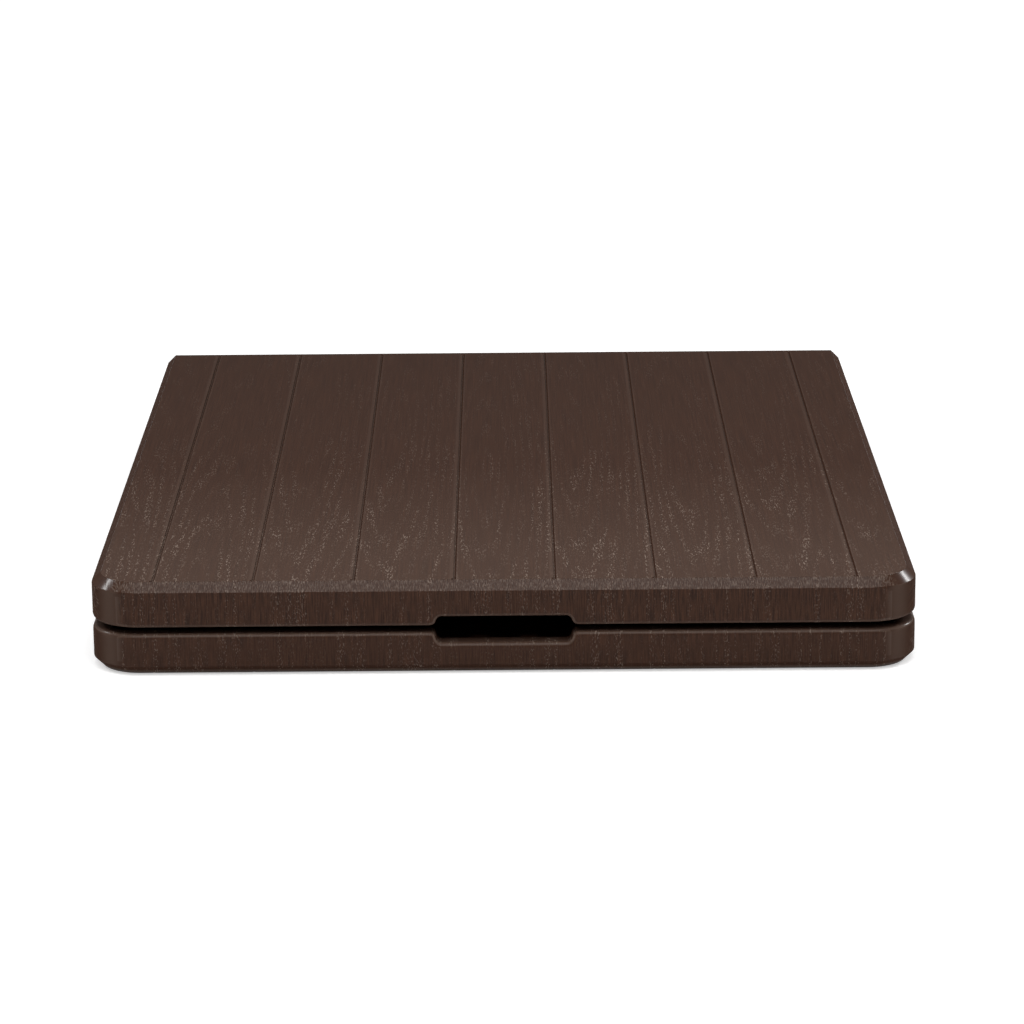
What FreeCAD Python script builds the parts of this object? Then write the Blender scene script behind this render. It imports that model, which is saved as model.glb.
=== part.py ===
import FreeCAD, Part
import math
import os
import re
import Sketcher

# Folding garden table, folded flat like a suitcase, in millimetres.
# X runs across the table, +Y runs from the hand grip to the hinge and +Z is up.
# The origin is under the middle of the folded table, on the floor.

SIZES = {
    # The two moulded halves
    "table_width": 740,
    "half_length": 900,
    "folded_height": 85,
    "lower_rim_drop": 4.5,
    "upper_rim_drop": 1.5,
    "corner_radius": 45,
    "bevel": 8.5,
    "bevel_rounding": 1.2,
    "rim_width": 18,
    "rim_rounding": 4.5,
    "panel_thickness": 10.5,
    "recess_corner": 14,
    "recess_fillet": 4,
    # Planks on the table surface
    "plank_pitch": 89.5,
    "groove_width": 4.6,
    "groove_floor": 2,
    "groove_depth": 1.5,
    "groove_stop": 10,
    "groove_end": 6,
    # Moulded dimples on the underside
    "dimple_radius": 17,
    "dimple_depth": 4,
    "dimple_pitch": 76,
    # Hand grip
    "grip_mouth": 124.5,
    "grip_floor": 118,
    "grip_corner": 5,
    "grip_shoulder": 5.5,
    "lower_grip_depth": 10,
    "upper_grip_depth": 8.4,
    "grip_rib_place": 22,
    "grip_rib_width": 15,
    "grip_rib_reach": 9,
    # Side rails and the hinge at the fold
    "rail_inset": 40,
    "rail_step": 6,
    "rail_thickness": 2,
    "rail_height": 16,
    "rail_flange": 18,
    "rail_end_gap": 5,
    "hinge_gap": 1,
    "hinge_ear_radius": 7.5,
    "hinge_ear_run": 60,
    "hinge_pin_radius": 3,
    "hinge_head_radius": 6,
    "hinge_head_height": 2.2,
    "hinge_slot_margin": 3,
    "running_clearance": 0.06,
    "face_clearance": 0.2,
    # Leg frames
    "tube_diameter": 20,
    "tube_wall": 1.5,
    "pivot_share": 0.67,
    "leg_reach": 650,
    "leg_bend": 40,
    "lower_leg_share": 0.6,
    "upper_leg_share": 0.73,
    "leg_end_overhang": 4,
    "crossbar_diameter": 14,
    "crossbar_wall": 1.2,
    "crossbar_station": 300,
    "bushing_wall": 1.6,
    "bushing_flange": 1.6,
    "bushing_flange_height": 1.4,
    "pivot_ear_margin": 2.4,
    "pivot_ear_gap": 2.94,
    "foot_wall": 2,
    "foot_length": 28,
    "foot_sole": 5,
    # Stays
    "stay_diameter": 6,
    "stay_gap": 1,
    "stay_bend": 14,
    "stay_offset": 140,
    "lower_stay_share": 0.33,
    "upper_stay_share": 0.25,
    "stay_stub": 30,
    "bracket_width": 12,
    "bracket_foot": 17,
    "bracket_base": 3,
    "bracket_wall": 2,
    "crown_share": 0.9,
    "stay_clip_share": 0.15,
    "stay_clip_width": 18,
    "stay_clip_wall": 3,
    "stay_clip_tilt": 24,
    "stay_clip_mouth": 5,
    "stay_seat_gap": 5,
    "stay_play": 0.35,
    # Leg clips
    "leg_clip_station": 470,
    "leg_clip_length": 24,
    "leg_clip_wall": 2.5,
    "leg_clip_gap": 3,
    "leg_clip_grip": 5,
    # Screws and bumpers
    "screw_radius": 2,
    "screw_head_radius": 4.2,
    "screw_head_height": 2.2,
    "screw_depth": 7,
    "screw_drive_radius": 1.6,
    "screw_drive_depth": 1.2,
    "screw_spacing": 190,
    "bumper_radius": 5,
    "bumper_share": 0.12,
}

# Places that follow from the sizes
DERIVED = {
    "half_width": "table_width / 2",
    "ear_overhang": "hinge_gap / 2 + hinge_ear_radius",
    "front": "-(half_length + ear_overhang) / 2",
    "back": "front + half_length",
    "hinge_place": "back + hinge_gap / 2",
    "hinge_height": "folded_height / 2",
    "lower_depth": "hinge_height - lower_rim_drop",
    "upper_depth": "hinge_height - upper_rim_drop",
    "lower_rail_place": "half_width - rail_inset",
    "upper_rail_place": "lower_rail_place + rail_step",
    "tube_radius": "tube_diameter / 2",
    "bushing_radius": "tube_radius + running_clearance + bushing_wall",
    "pivot_ear_radius": "bushing_radius + pivot_ear_margin",
    "pivot_place": "front + rim_width + pivot_ear_radius + pivot_ear_gap",
    "pivot_height": "hinge_height * pivot_share",
    "foot_place": "pivot_place + leg_reach",
    "lower_leg_place": "half_width * lower_leg_share",
    "upper_leg_place": "half_width * upper_leg_share",
    "crossbar_radius": "crossbar_diameter / 2",
    "crossbar_place": "pivot_place + crossbar_station",
    "stay_radius": "stay_diameter / 2",
    "stay_height": "pivot_height - crossbar_radius - stay_radius - stay_gap",
    "stay_pivot": "pivot_place + stay_offset",
    "lower_stay_place": "half_width * lower_stay_share",
    "upper_stay_place": "half_width * upper_stay_share",
    "stay_clip_place": "half_width * stay_clip_share",
    "seat_distance": "crossbar_radius + stay_radius + stay_seat_gap",
    "seat_along": "crossbar_station + seat_distance * cos(stay_clip_tilt)",
    "seat_across": "seat_distance * sin(stay_clip_tilt)",
    "stay_span": "stay_offset - seat_across",
    "stay_climb": "seat_along + pivot_height - stay_height",
    "stay_length": "sqrt(stay_span * stay_span + stay_climb * stay_climb)",
    "leg_clip_place": "pivot_place + leg_clip_station",
    "leg_clip_bed": "pivot_height - tube_radius - leg_clip_gap",
    "bumper_place": "front + half_length * bumper_share",
    "slot_inside": "lower_rail_place - hinge_head_height - hinge_slot_margin",
    "slot_outside": "upper_rail_place + rail_thickness + hinge_head_height + hinge_slot_margin",
}

ACROSS = FreeCAD.Vector(1, 0, 0)
UPRIGHT = FreeCAD.Vector(0, 0, 1)
TOUCH = 0.01

doc = FreeCAD.newDocument("folding_table")
dims = doc.addObject("Spreadsheet::Sheet", "dims")
for row, (alias, size) in enumerate(SIZES.items(), start=1):
    dims.set(f"A{row}", alias)
    dims.set(f"B{row}", str(size))
    dims.setAlias(f"B{row}", alias)
doc.recompute()


def link(formula):
    """Spell a formula in references to the sheet, so that it can drive a property."""

    def spell(match):
        word = match.group()
        if word in DERIVED:
            return "(" + link(DERIVED[word]) + ")"
        return "dims." + word if word in SIZES else word

    return re.sub(r"[a-z_]\w*", spell, formula)


def value(formula):
    return float(dims.evalExpression(link(formula)))


def new_body(label):
    body = doc.addObject("PartDesign::Body", label)
    body.Label = label
    return body


def new_sketch(body, name, role, offset="0"):
    plane = next(item for item in body.Origin.OriginFeatures if item.Role == role)
    sketch = body.newObject("Sketcher::SketchObject", name)
    sketch.AttachmentSupport = [(plane, "")]
    sketch.MapMode = "FlatFace"
    sketch.setExpression("AttachmentOffset.Base.z", link(offset))
    return sketch


def at(geometry, point, corner):
    """Two relations that hold a point of a sketch at the values of two formulas."""
    return [
        (Sketcher.Constraint("DistanceX", -1, 1, geometry, point, value(corner[0])), corner[0]),
        (Sketcher.Constraint("DistanceY", -1, 1, geometry, point, value(corner[1])), corner[1]),
    ]


def hold(sketch, relations):
    """Add constraints in one go, each with the formula that drives it, or None."""
    for number, (constraint, formula) in enumerate(relations, start=sketch.ConstraintCount):
        if formula is not None:
            constraint.Name = f"size_{number}"
    sketch.addConstraint([constraint for constraint, formula in relations])
    for constraint, formula in relations:
        if formula is not None:
            sketch.setExpression("Constraints." + constraint.Name, link(formula))


def add_polygon(sketch, corners):
    points = [FreeCAD.Vector(value(across), value(along), 0) for across, along in corners]
    first = sketch.GeometryCount
    following = points[1:] + points[:1]
    sketch.addGeometry([Part.LineSegment(*ends) for ends in zip(points, following)], False)
    relations = []
    for index, corner in enumerate(corners):
        meets = first + (index + 1) % len(corners)
        relations.append((Sketcher.Constraint("Coincident", first + index, 2, meets, 1), None))
        relations += at(first + index, 1, corner)
    hold(sketch, relations)


def add_rectangle(sketch, low_across, high_across, low_along, high_along):
    add_polygon(sketch, [
        (low_across, low_along),
        (high_across, low_along),
        (high_across, high_along),
        (low_across, high_along),
    ])


def add_circles(sketch, centres, radius):
    """Draw circles of one size, the first held by its radius and the others equal to it."""
    first = sketch.GeometryCount
    size = value(radius)
    spots = [FreeCAD.Vector(value(across), value(along), 0) for across, along in centres]
    sketch.addGeometry([Part.Circle(spot, UPRIGHT, size) for spot in spots], False)
    relations = [(Sketcher.Constraint("Radius", first, size), radius)]
    for index, centre in enumerate(centres):
        relations += at(first + index, 3, centre)
        if index > 0:
            relations.append((Sketcher.Constraint("Equal", first, first + index), None))
    hold(sketch, relations)


def add_bent_path(sketch, corners, radius):
    """Draw a run of lines square to each other, with an arc of one radius at each bend."""
    points = [FreeCAD.Vector(value(across), value(along), 0) for across, along in corners]
    reach = value(radius)
    last = len(points) - 1
    steps = [(points[i + 1] - points[i]).normalize() for i in range(last)]
    relations = []
    for index, step in enumerate(steps):
        start = points[index] + step * (reach if index > 0 else 0)
        end = points[index + 1] - step * (reach if index < last - 1 else 0)
        sketch.addGeometry(Part.LineSegment(start, end), False)
        flat = abs(step.x) > abs(step.y)
        relations.append((Sketcher.Constraint("Horizontal" if flat else "Vertical", index), None))
        if 0 < index < last - 1:
            relations.append(at(index, 1, corners[index])[1 if flat else 0])
    relations += at(0, 1, corners[0]) + at(last - 1, 2, corners[-1])
    for index in range(1, last):
        before, after = steps[index - 1], steps[index]
        left_turn = before.x * after.y - before.y * after.x > 0
        centre = points[index] - before * reach + after * reach
        inward = points[index] - before * reach - centre
        outward = points[index] + after * reach - centre
        begin, end = (inward, outward) if left_turn else (outward, inward)
        begin_angle = math.atan2(begin.y, begin.x)
        end_angle = math.atan2(end.y, end.x)
        circle = Part.Circle(centre, UPRIGHT, reach)
        arc = sketch.addGeometry(Part.ArcOfCircle(circle, begin_angle, end_angle), False)
        entry, leave = (1, 2) if left_turn else (2, 1)
        relations.append((Sketcher.Constraint("Tangent", index - 1, 2, arc, entry), None))
        relations.append((Sketcher.Constraint("Tangent", index, 1, arc, leave), None))
        relations.append((Sketcher.Constraint("Radius", arc, reach), radius))
    hold(sketch, relations)


def add_feature(body, kind, name, sketch, length, backwards=False):
    feature = body.newObject("PartDesign::" + kind, name)
    feature.Profile = sketch
    feature.setExpression("Length", link(length))
    feature.Reversed = backwards
    return feature


def pad(body, name, sketch, length, backwards=False):
    return add_feature(body, "Pad", name, sketch, length, backwards)


def pocket(body, name, sketch, length, backwards=False):
    """Cut a sketch into the body, and make sure that it takes something away."""
    doc.recompute()
    before = body.Shape.Volume
    feature = add_feature(body, "Pocket", name, sketch, length, backwards)
    doc.recompute()
    if body.Shape.Volume >= before:
        raise ValueError(f"{body.Label}: {name} cuts nothing")
    return feature


def dress(body, kind, name, size, wanted):
    """Round or bevel the edges of the body that a test picks out."""
    doc.recompute()
    base = body.Tip
    edges = [f"Edge{i}" for i, edge in enumerate(base.Shape.Edges, start=1) if wanted(edge)]
    if not edges:
        raise ValueError(f"{body.Label}: no edge for {name}")
    feature = body.newObject("PartDesign::" + kind, name)
    feature.Base = (base, edges)
    feature.setExpression("Radius" if kind == "Fillet" else "Size", link(size))
    return feature


def add_pipe(body, name, profile, spine):
    feature = body.newObject("PartDesign::AdditivePipe", name)
    feature.Profile = profile
    feature.Spine = spine
    return feature


def mirror(source, label, normal, base="0"):
    """Make the mirror image of a piece, across X = 0 or across a level plane."""
    image = doc.addObject("Part::Mirroring", label)
    image.Label = label
    image.Source = source
    image.Normal = normal
    image.setExpression("Base.z", link(base))
    return image


def near(first, second):
    return abs(first - second) < TOUCH


def middle(edge):
    """The point half-way along an edge."""
    return edge.valueAt((edge.FirstParameter + edge.LastParameter) / 2)


def level_edge(edge, height):
    return all(near(vertex.Z, height) for vertex in edge.Vertexes) and near(middle(edge).z, height)


def upright_edge(edge):
    low, high = edge.Vertexes[0].Point, edge.Vertexes[-1].Point
    return near(low.x, high.x) and near(low.y, high.y) and not near(low.z, high.z)


def spread(first, last, spacing):
    """Even places between two ends, no further apart than a spacing, as formulas."""
    gaps = max(1, math.ceil((value(last) - value(first)) / value(spacing)))
    return [f"({first}) + (({last}) - ({first})) * {i} / {gaps}" for i in range(gaps + 1)]


def screw_places(rail, stay, leg):
    """Where the screws of one half stand, in plan: rails, stay brackets and leg clips."""
    flange_line = f"{rail} - rail_flange / 2"
    rail_front = "pivot_place + bushing_radius + rail_flange"
    rail_back = "back - hinge_ear_run"
    rail_line = spread(rail_front, rail_back, "screw_spacing")
    bracket_line = f"{stay} + stay_stub / 2 + stay_bend / 2"
    bracket_step = "bracket_foot - screw_head_radius"
    return {
        "rail": [(flange_line, along) for along in rail_line],
        "bracket": [(bracket_line, f"stay_pivot - ({bracket_step})"),
                    (bracket_line, f"stay_pivot + {bracket_step}")],
        "clip": [(leg, "leg_clip_place")],
    }


def both_sides(places):
    return [(f"{sign}({across})", along) for across, along in places for sign in ("", "-")]


# Blow-moulded HDPE half: a plank-grooved panel with a bevelled edge and a deep hollow rim.
# It is drawn with its table surface down; the upper half is its mirror image.
def make_tabletop(label, depth, grip_depth, screws):
    body = new_body(label)
    plan = new_sketch(body, "plan", "XY_Plane")
    add_rectangle(plan, "-half_width", "half_width", "front", "back")
    pad(body, "block", plan, depth)
    side, front, back = value("half_width"), value("front"), value("back")
    top, floor = value(depth), value("panel_thickness")
    dress(body, "Fillet", "corners", "corner_radius",
          lambda edge: upright_edge(edge) and near(edge.Vertexes[0].Y, front))
    dress(body, "Chamfer", "edge_bevel", "bevel",
          lambda edge: level_edge(edge, 0) and not near(middle(edge).y, back))
    bevel_levels = (0, value("bevel"))
    dress(body, "Fillet", "bevel_edges", "bevel_rounding",
          lambda edge: (any(level_edge(edge, level) for level in bevel_levels)
                        and not near(middle(edge).y, back)))

    hollow = new_sketch(body, "hollow", "XY_Plane", depth)
    add_rectangle(hollow, "-half_width + rim_width", "half_width - rim_width",
                  "front + rim_width", "back - rim_width")
    pocket(body, "recess", hollow, f"{depth} - panel_thickness")
    inner_side = value("half_width - rim_width")
    inner_front = value("front + rim_width")
    dress(body, "Fillet", "recess_corners", "recess_corner",
          lambda edge: upright_edge(edge) and near(abs(edge.Vertexes[0].X), inner_side))
    dress(body, "Fillet", "recess_floor_edge", "recess_fillet", lambda edge: level_edge(edge, floor))

    notch = new_sketch(body, "notch", "XZ_Plane", "-(front)")
    add_polygon(notch, [
        ("-grip_floor / 2", f"{depth} - {grip_depth}"),
        ("grip_floor / 2", f"{depth} - {grip_depth}"),
        ("grip_mouth / 2", depth),
        ("-grip_mouth / 2", depth),
    ])
    pocket(body, "hand_grip", notch, "rim_width")
    grip_level = value(f"{depth} - {grip_depth}")
    grip_half, mouth_half = value("grip_floor / 2"), value("grip_mouth / 2")

    def across_rim(edge, half, height):
        at_place = near(abs(middle(edge).x), half) and near(middle(edge).z, height)
        return at_place and front < middle(edge).y < inner_front

    dress(body, "Fillet", "grip_corners", "grip_corner",
          lambda edge: across_rim(edge, grip_half, grip_level))
    dress(body, "Fillet", "grip_shoulders", "grip_shoulder",
          lambda edge: across_rim(edge, mouth_half, top))

    def on_outer_wall(edge):
        point = middle(edge)
        at_side = near(abs(point.x), side) or near(point.y, front)
        corner = value("corner_radius")
        from_corner = math.hypot(abs(point.x) - side + corner, point.y - front - corner)
        return at_side or near(from_corner, corner) and point.y < front + corner

    def rim_edge(edge):
        if level_edge(edge, top):
            return on_outer_wall(edge)
        lip = near(middle(edge).y, front) and middle(edge).z > value("bevel") + TOUCH
        return lip and abs(middle(edge).x) < side / 2

    dress(body, "Fillet", "rim_outer_edge", "rim_rounding", rim_edge)

    ribs = new_sketch(body, "ribs", "XY_Plane", "panel_thickness")
    for sign in ("", "-"):
        centre = f"{sign}grip_rib_place"
        add_rectangle(ribs, f"{centre} - grip_rib_width / 2", f"{centre} + grip_rib_width / 2",
                      "front + rim_width - bevel / 2", "front + rim_width + grip_rib_reach")
    pad(body, "grip_ribs", ribs, f"{depth} - {grip_depth} - panel_thickness")

    add_plank_grooves(body)
    slots = new_sketch(body, "slots", "XY_Plane", depth)
    for inside, outside in (("slot_inside", "slot_outside"), ("-slot_outside", "-slot_inside")):
        add_rectangle(slots, inside, outside, "back - rim_width - recess_fillet", "back + rim_width")
    pocket(body, "hinge_slots", slots, f"{depth} - panel_thickness")

    pilots = new_sketch(body, "pilots", "XY_Plane", "panel_thickness")
    add_circles(pilots, screws, "screw_radius + running_clearance")
    pocket(body, "screw_holes", pilots, "screw_depth")

    add_dimples(body, screws)
    return body


# Round dimples where the moulded underside is drawn in to the table surface
def add_dimples(body, screws):
    low, high = "front + rim_width + corner_radius", "back - rim_width - dimple_pitch / 2"
    rows = spread(low, high, "dimple_pitch")
    inside = "lower_rail_place - rail_flange - dimple_radius * 1.5"
    columns = spread(f"-({inside})", inside, "dimple_pitch")
    clear = value("dimple_radius + screw_head_radius + bracket_foot")
    taken = [(value(across), value(along)) for across, along in screws]
    sketch = new_sketch(body, "dimples", "XY_Plane", "panel_thickness")
    spots = []
    for across in columns:
        for along in rows:
            place = value(across), value(along)
            if all(math.dist(place, other) > clear for other in taken):
                spots.append((across, along))
    add_circles(sketch, spots, "dimple_radius")
    pocket(body, "dimple_field", sketch, "dimple_depth")


# Flat-bottomed grooves along the table surface, closed by a cone at both ends
def add_plank_grooves(body):
    grooves = int(value("table_width / plank_pitch"))
    first = f"-{grooves - 1} / 2 * plank_pitch"
    lip = "groove_width / 2 + (groove_width - groove_floor) / 2 * rim_rounding / groove_depth"
    profile = new_sketch(body, "groove_profile", "XZ_Plane", "-(back - groove_end)")
    add_polygon(profile, [
        (f"{first} - {lip}", "-rim_rounding"),
        (f"{first} + {lip}", "-rim_rounding"),
        (f"{first} + groove_floor / 2", "groove_depth"),
        (f"{first} - groove_floor / 2", "groove_depth"),
    ])
    cuts = [pocket(body, "plank_groove", profile, "half_length - groove_stop - groove_end", backwards=True)]
    for end, place in (("grip_end", "front + groove_stop"), ("fold_end", "back - groove_end")):
        cone = body.newObject("PartDesign::SubtractiveCone", f"groove_{end}")
        cone.setExpression("Radius1", link("groove_width / 2"))
        cone.setExpression("Radius2", link("groove_floor / 2"))
        cone.setExpression("Height", link("groove_depth"))
        cone.setExpression("Placement.Base.x", link(first))
        cone.setExpression("Placement.Base.y", link(place))
        cuts.append(cone)
    row = body.newObject("PartDesign::LinearPattern", "plank_row")
    row.Originals = cuts
    axis = next(item for item in body.Origin.OriginFeatures if item.Role == "X_Axis")
    row.Direction = (axis, [""])
    row.setExpression("Length", link(f"{grooves - 1} * plank_pitch"))
    row.Occurrences = grooves
    body.Tip = row


# Pressed steel side rail: an angle with an ear for the leg pivot and an ear at the fold
def make_rail(label, place, screws):
    body = new_body(label)
    rail_top = "panel_thickness + rail_height"
    rail_front = "front + rim_width + rail_end_gap"
    web = new_sketch(body, "web", "YZ_Plane", place)
    add_rectangle(web, rail_front, "back - hinge_ear_run / 2", "panel_thickness", rail_top)
    pad(body, "web_plate", web, "rail_thickness")
    pivot_ear = new_sketch(body, "pivot_ear", "YZ_Plane", place)
    add_circles(pivot_ear, [("pivot_place", "pivot_height")], "pivot_ear_radius")
    pad(body, "pivot_ear_plate", pivot_ear, "rail_thickness")
    arm = new_sketch(body, "hinge_arm", "YZ_Plane", place)
    add_polygon(arm, [
        ("back - hinge_ear_run", "panel_thickness"),
        ("back - hinge_gap", "panel_thickness"),
        ("hinge_place + hinge_ear_radius", "hinge_height"),
        ("hinge_place", "hinge_height + hinge_ear_radius"),
        ("back - hinge_ear_run", rail_top),
    ])
    pad(body, "hinge_arm_plate", arm, "rail_thickness")
    ear_round = new_sketch(body, "hinge_ear", "YZ_Plane", place)
    add_circles(ear_round, [("hinge_place", "hinge_height")], "hinge_ear_radius")
    pad(body, "hinge_ear_plate", ear_round, "rail_thickness")
    flange = new_sketch(body, "flange", "XY_Plane", "panel_thickness")
    add_rectangle(flange, f"{place} - rail_flange", place,
                  "pivot_place + pivot_ear_radius", "back - hinge_ear_run / 2")
    pad(body, "flange_plate", flange, "rail_thickness")
    bores = new_sketch(body, "bores", "YZ_Plane", f"{place} + rail_thickness")
    add_circles(bores, [("pivot_place", "pivot_height")], "bushing_radius")
    add_circles(bores, [("hinge_place", "hinge_height")], "hinge_pin_radius + running_clearance")
    pocket(body, "pivot_bores", bores, "rail_thickness")
    holes = new_sketch(body, "holes", "XY_Plane", "panel_thickness + rail_thickness")
    add_circles(holes, screws, "screw_radius + running_clearance")
    pocket(body, "screw_holes", holes, "rail_thickness")
    return body


# Pan-head screws with a square drive, all of one kind in one group
def make_screws(label, places, seat):
    body = new_body(label)
    body.AllowCompound = True
    heads = new_sketch(body, "heads", "XY_Plane", seat)
    shanks = new_sketch(body, "shanks", "XY_Plane", seat)
    drives = new_sketch(body, "drives", "XY_Plane", f"{seat} + screw_head_height")
    add_circles(heads, places, "screw_head_radius")
    add_circles(shanks, places, "screw_radius")
    for across, along in places:
        add_rectangle(drives, f"{across} - screw_drive_radius", f"{across} + screw_drive_radius",
                      f"{along} - screw_drive_radius", f"{along} + screw_drive_radius")
    pad(body, "head", heads, "screw_head_height")
    pad(body, "shank", shanks, f"{seat} - panel_thickness + screw_depth", backwards=True)
    pocket(body, "drive", drives, "screw_drive_depth")
    crown = value(f"{seat} + screw_head_height")
    head = value("screw_head_radius")

    def crown_edge(edge):
        return level_edge(edge, crown) and hasattr(edge.Curve, "Radius") and near(edge.Curve.Radius, head)

    dress(body, "Fillet", "head_rounding", "screw_head_height / 2", crown_edge)
    return body


# Bent steel tube leg: it lies along the panel and its end turns out into the rail
def make_leg(label, place, rail):
    body = new_body(label)
    spine = new_sketch(body, "spine", "XY_Plane", "pivot_height")
    add_bent_path(spine, [
        (place, "foot_place"),
        (place, "pivot_place"),
        (f"{rail} + rail_thickness + leg_end_overhang", "pivot_place"),
    ], "leg_bend")
    ring = new_sketch(body, "ring", "XZ_Plane", "-(foot_place)")
    add_circles(ring, [(place, "pivot_height")], "tube_radius")
    add_circles(ring, [(place, "pivot_height")], "tube_radius - tube_wall")
    add_pipe(body, "tube", ring, spine)
    return body


# Steel crossbar, cut to fit round the two legs
def make_crossbar(label, place):
    body = new_body(label)
    ring = new_sketch(body, "ring", "YZ_Plane", f"-{place}")
    add_circles(ring, [("crossbar_place", "pivot_height")], "crossbar_radius")
    add_circles(ring, [("crossbar_place", "pivot_height")], "crossbar_radius - crossbar_wall")
    pad(body, "bar", ring, f"2 * {place}")
    cope = new_sketch(body, "cope", "XZ_Plane", "-(crossbar_place - crossbar_diameter)")
    add_circles(cope, [(place, "pivot_height"), (f"-{place}", "pivot_height")], "tube_radius")
    pocket(body, "coped_ends", cope, "2 * crossbar_diameter")
    return body


# Moulded foot cap, pushed over the end of a leg
def make_foot(label, place):
    body = new_body(label)
    outside = "tube_radius + foot_wall"
    shell = new_sketch(body, "shell", "XZ_Plane", "-(foot_place + foot_sole)")
    add_circles(shell, [(place, "pivot_height")], outside)
    pad(body, "cap", shell, "foot_length")
    socket = new_sketch(body, "socket", "XZ_Plane", "-(foot_place)")
    add_circles(socket, [(place, "pivot_height")], "tube_radius + running_clearance / 2")
    pocket(body, "bore", socket, "foot_length", backwards=True)
    sole = value("foot_place + foot_sole")

    def sole_edge(edge):
        return all(near(vertex.Y, sole) for vertex in edge.Vertexes) and near(middle(edge).y, sole)

    dress(body, "Fillet", "sole_rounding", "foot_wall", sole_edge)
    return body


# Moulded bushing with a flange, in which the end of a leg turns in its rail
def make_bushing(label, rail):
    body = new_body(label)
    flange = new_sketch(body, "flange", "YZ_Plane", f"{rail} - bushing_flange_height")
    add_circles(flange, [("pivot_place", "pivot_height")], "bushing_radius + bushing_flange")
    pad(body, "flange_ring", flange, "bushing_flange_height")
    sleeve = new_sketch(body, "sleeve", "YZ_Plane", rail)
    add_circles(sleeve, [("pivot_place", "pivot_height")], "bushing_radius")
    pad(body, "sleeve_ring", sleeve, "rail_thickness")
    bore = new_sketch(body, "bore", "YZ_Plane", f"{rail} + rail_thickness")
    add_circles(bore, [("pivot_place", "pivot_height")], "tube_radius + running_clearance")
    pocket(body, "running_bore", bore, "rail_thickness + bushing_flange_height")
    return body


# Stay: one bent steel wire, a bail that swings up from the panel to the crossbar
def make_stay(label, place):
    body = new_body(label)
    spine = new_sketch(body, "spine", "XY_Plane", "stay_height")
    tip = "stay_pivot + stay_length"
    add_bent_path(spine, [
        (f"{place} + stay_stub", "stay_pivot"),
        (place, "stay_pivot"),
        (place, tip),
        (f"-{place}", tip),
        (f"-{place}", "stay_pivot"),
        (f"-({place} + stay_stub)", "stay_pivot"),
    ], "stay_bend")
    wire = new_sketch(body, "wire", "YZ_Plane", f"{place} + stay_stub")
    add_circles(wire, [("stay_pivot", "stay_height")], "stay_radius")
    add_pipe(body, "bail", wire, spine)
    return body


# Moulded bracket that holds one end of the stay on the panel
def make_stay_bracket(label, stay, screws):
    body = new_body(label)
    inside = f"{stay} + stay_stub / 2 + stay_bend / 2 - bracket_width / 2"
    round_half = "stay_radius + bracket_wall"
    base = new_sketch(body, "base", "YZ_Plane", inside)
    add_rectangle(base, "stay_pivot - bracket_foot", "stay_pivot + bracket_foot",
                  "panel_thickness", "panel_thickness + bracket_base")
    pad(body, "base_plate", base, "bracket_width")
    post = new_sketch(body, "post", "YZ_Plane", inside)
    add_rectangle(post, f"stay_pivot - ({round_half})", f"stay_pivot + {round_half}",
                  "panel_thickness", f"stay_height + {round_half}")
    pad(body, "post_block", post, "bracket_width")
    crest = value(f"stay_height + {round_half}")
    low, high = value(inside), value(f"{inside} + bracket_width")
    dress(body, "Fillet", "post_crown", f"({round_half}) * crown_share",
          lambda edge: level_edge(edge, crest) and low < middle(edge).x < high)
    bore = new_sketch(body, "bore", "YZ_Plane", f"{inside} + bracket_width")
    add_circles(bore, [("stay_pivot", "stay_height")], "stay_radius + running_clearance")
    pocket(body, "pivot_bore", bore, "bracket_width")
    holes = new_sketch(body, "holes", "XY_Plane", "panel_thickness + bracket_base")
    add_circles(holes, screws, "screw_radius + running_clearance")
    pocket(body, "screw_holes", holes, "bracket_base")
    return body


# Moulded clip on the crossbar, with an open seat for the end of the stay
def make_stay_clip(label):
    body = new_body(label)
    outside = "crossbar_radius + stay_clip_wall"
    seat_half = "stay_radius + stay_play"
    jaw = f"{seat_half} + stay_clip_wall"
    end = "seat_distance + stay_clip_mouth"

    def turned(along, across):
        """A point of the clip, from its place along and across the tilted seat."""
        return (f"crossbar_place + ({along}) * cos(stay_clip_tilt) + ({across}) * sin(stay_clip_tilt)",
                f"pivot_height - ({along}) * sin(stay_clip_tilt) + ({across}) * cos(stay_clip_tilt)")

    inside = "stay_clip_place - stay_clip_width / 2"
    ring = new_sketch(body, "ring", "YZ_Plane", inside)
    add_circles(ring, [("crossbar_place", "pivot_height")], outside)
    pad(body, "ring_block", ring, "stay_clip_width")
    jaws = new_sketch(body, "jaws", "YZ_Plane", inside)
    add_polygon(jaws, [turned("0", f"-({jaw})"), turned(end, f"-({jaw})"),
                       turned(end, jaw), turned("0", jaw)])
    pad(body, "jaw_block", jaws, "stay_clip_width")
    bore = new_sketch(body, "bore", "YZ_Plane", f"{inside} + stay_clip_width")
    add_circles(bore, [("crossbar_place", "pivot_height")], "crossbar_radius + running_clearance / 2")
    pocket(body, "crossbar_bore", bore, "stay_clip_width")
    seat = new_sketch(body, "seat", "YZ_Plane", f"{inside} + stay_clip_width")
    across, along = turned("seat_distance", "0")
    add_circles(seat, [(across, along)], seat_half)
    pocket(body, "seat_round", seat, "stay_clip_width")
    mouth = new_sketch(body, "mouth", "YZ_Plane", f"{inside} + stay_clip_width")
    wide = f"{end} + stay_clip_mouth"
    add_polygon(mouth, [turned("seat_distance", f"-({seat_half})"), turned(wide, f"-({seat_half})"),
                        turned(wide, seat_half), turned("seat_distance", seat_half)])
    pocket(body, "seat_mouth", mouth, "stay_clip_width")
    return body


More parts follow.
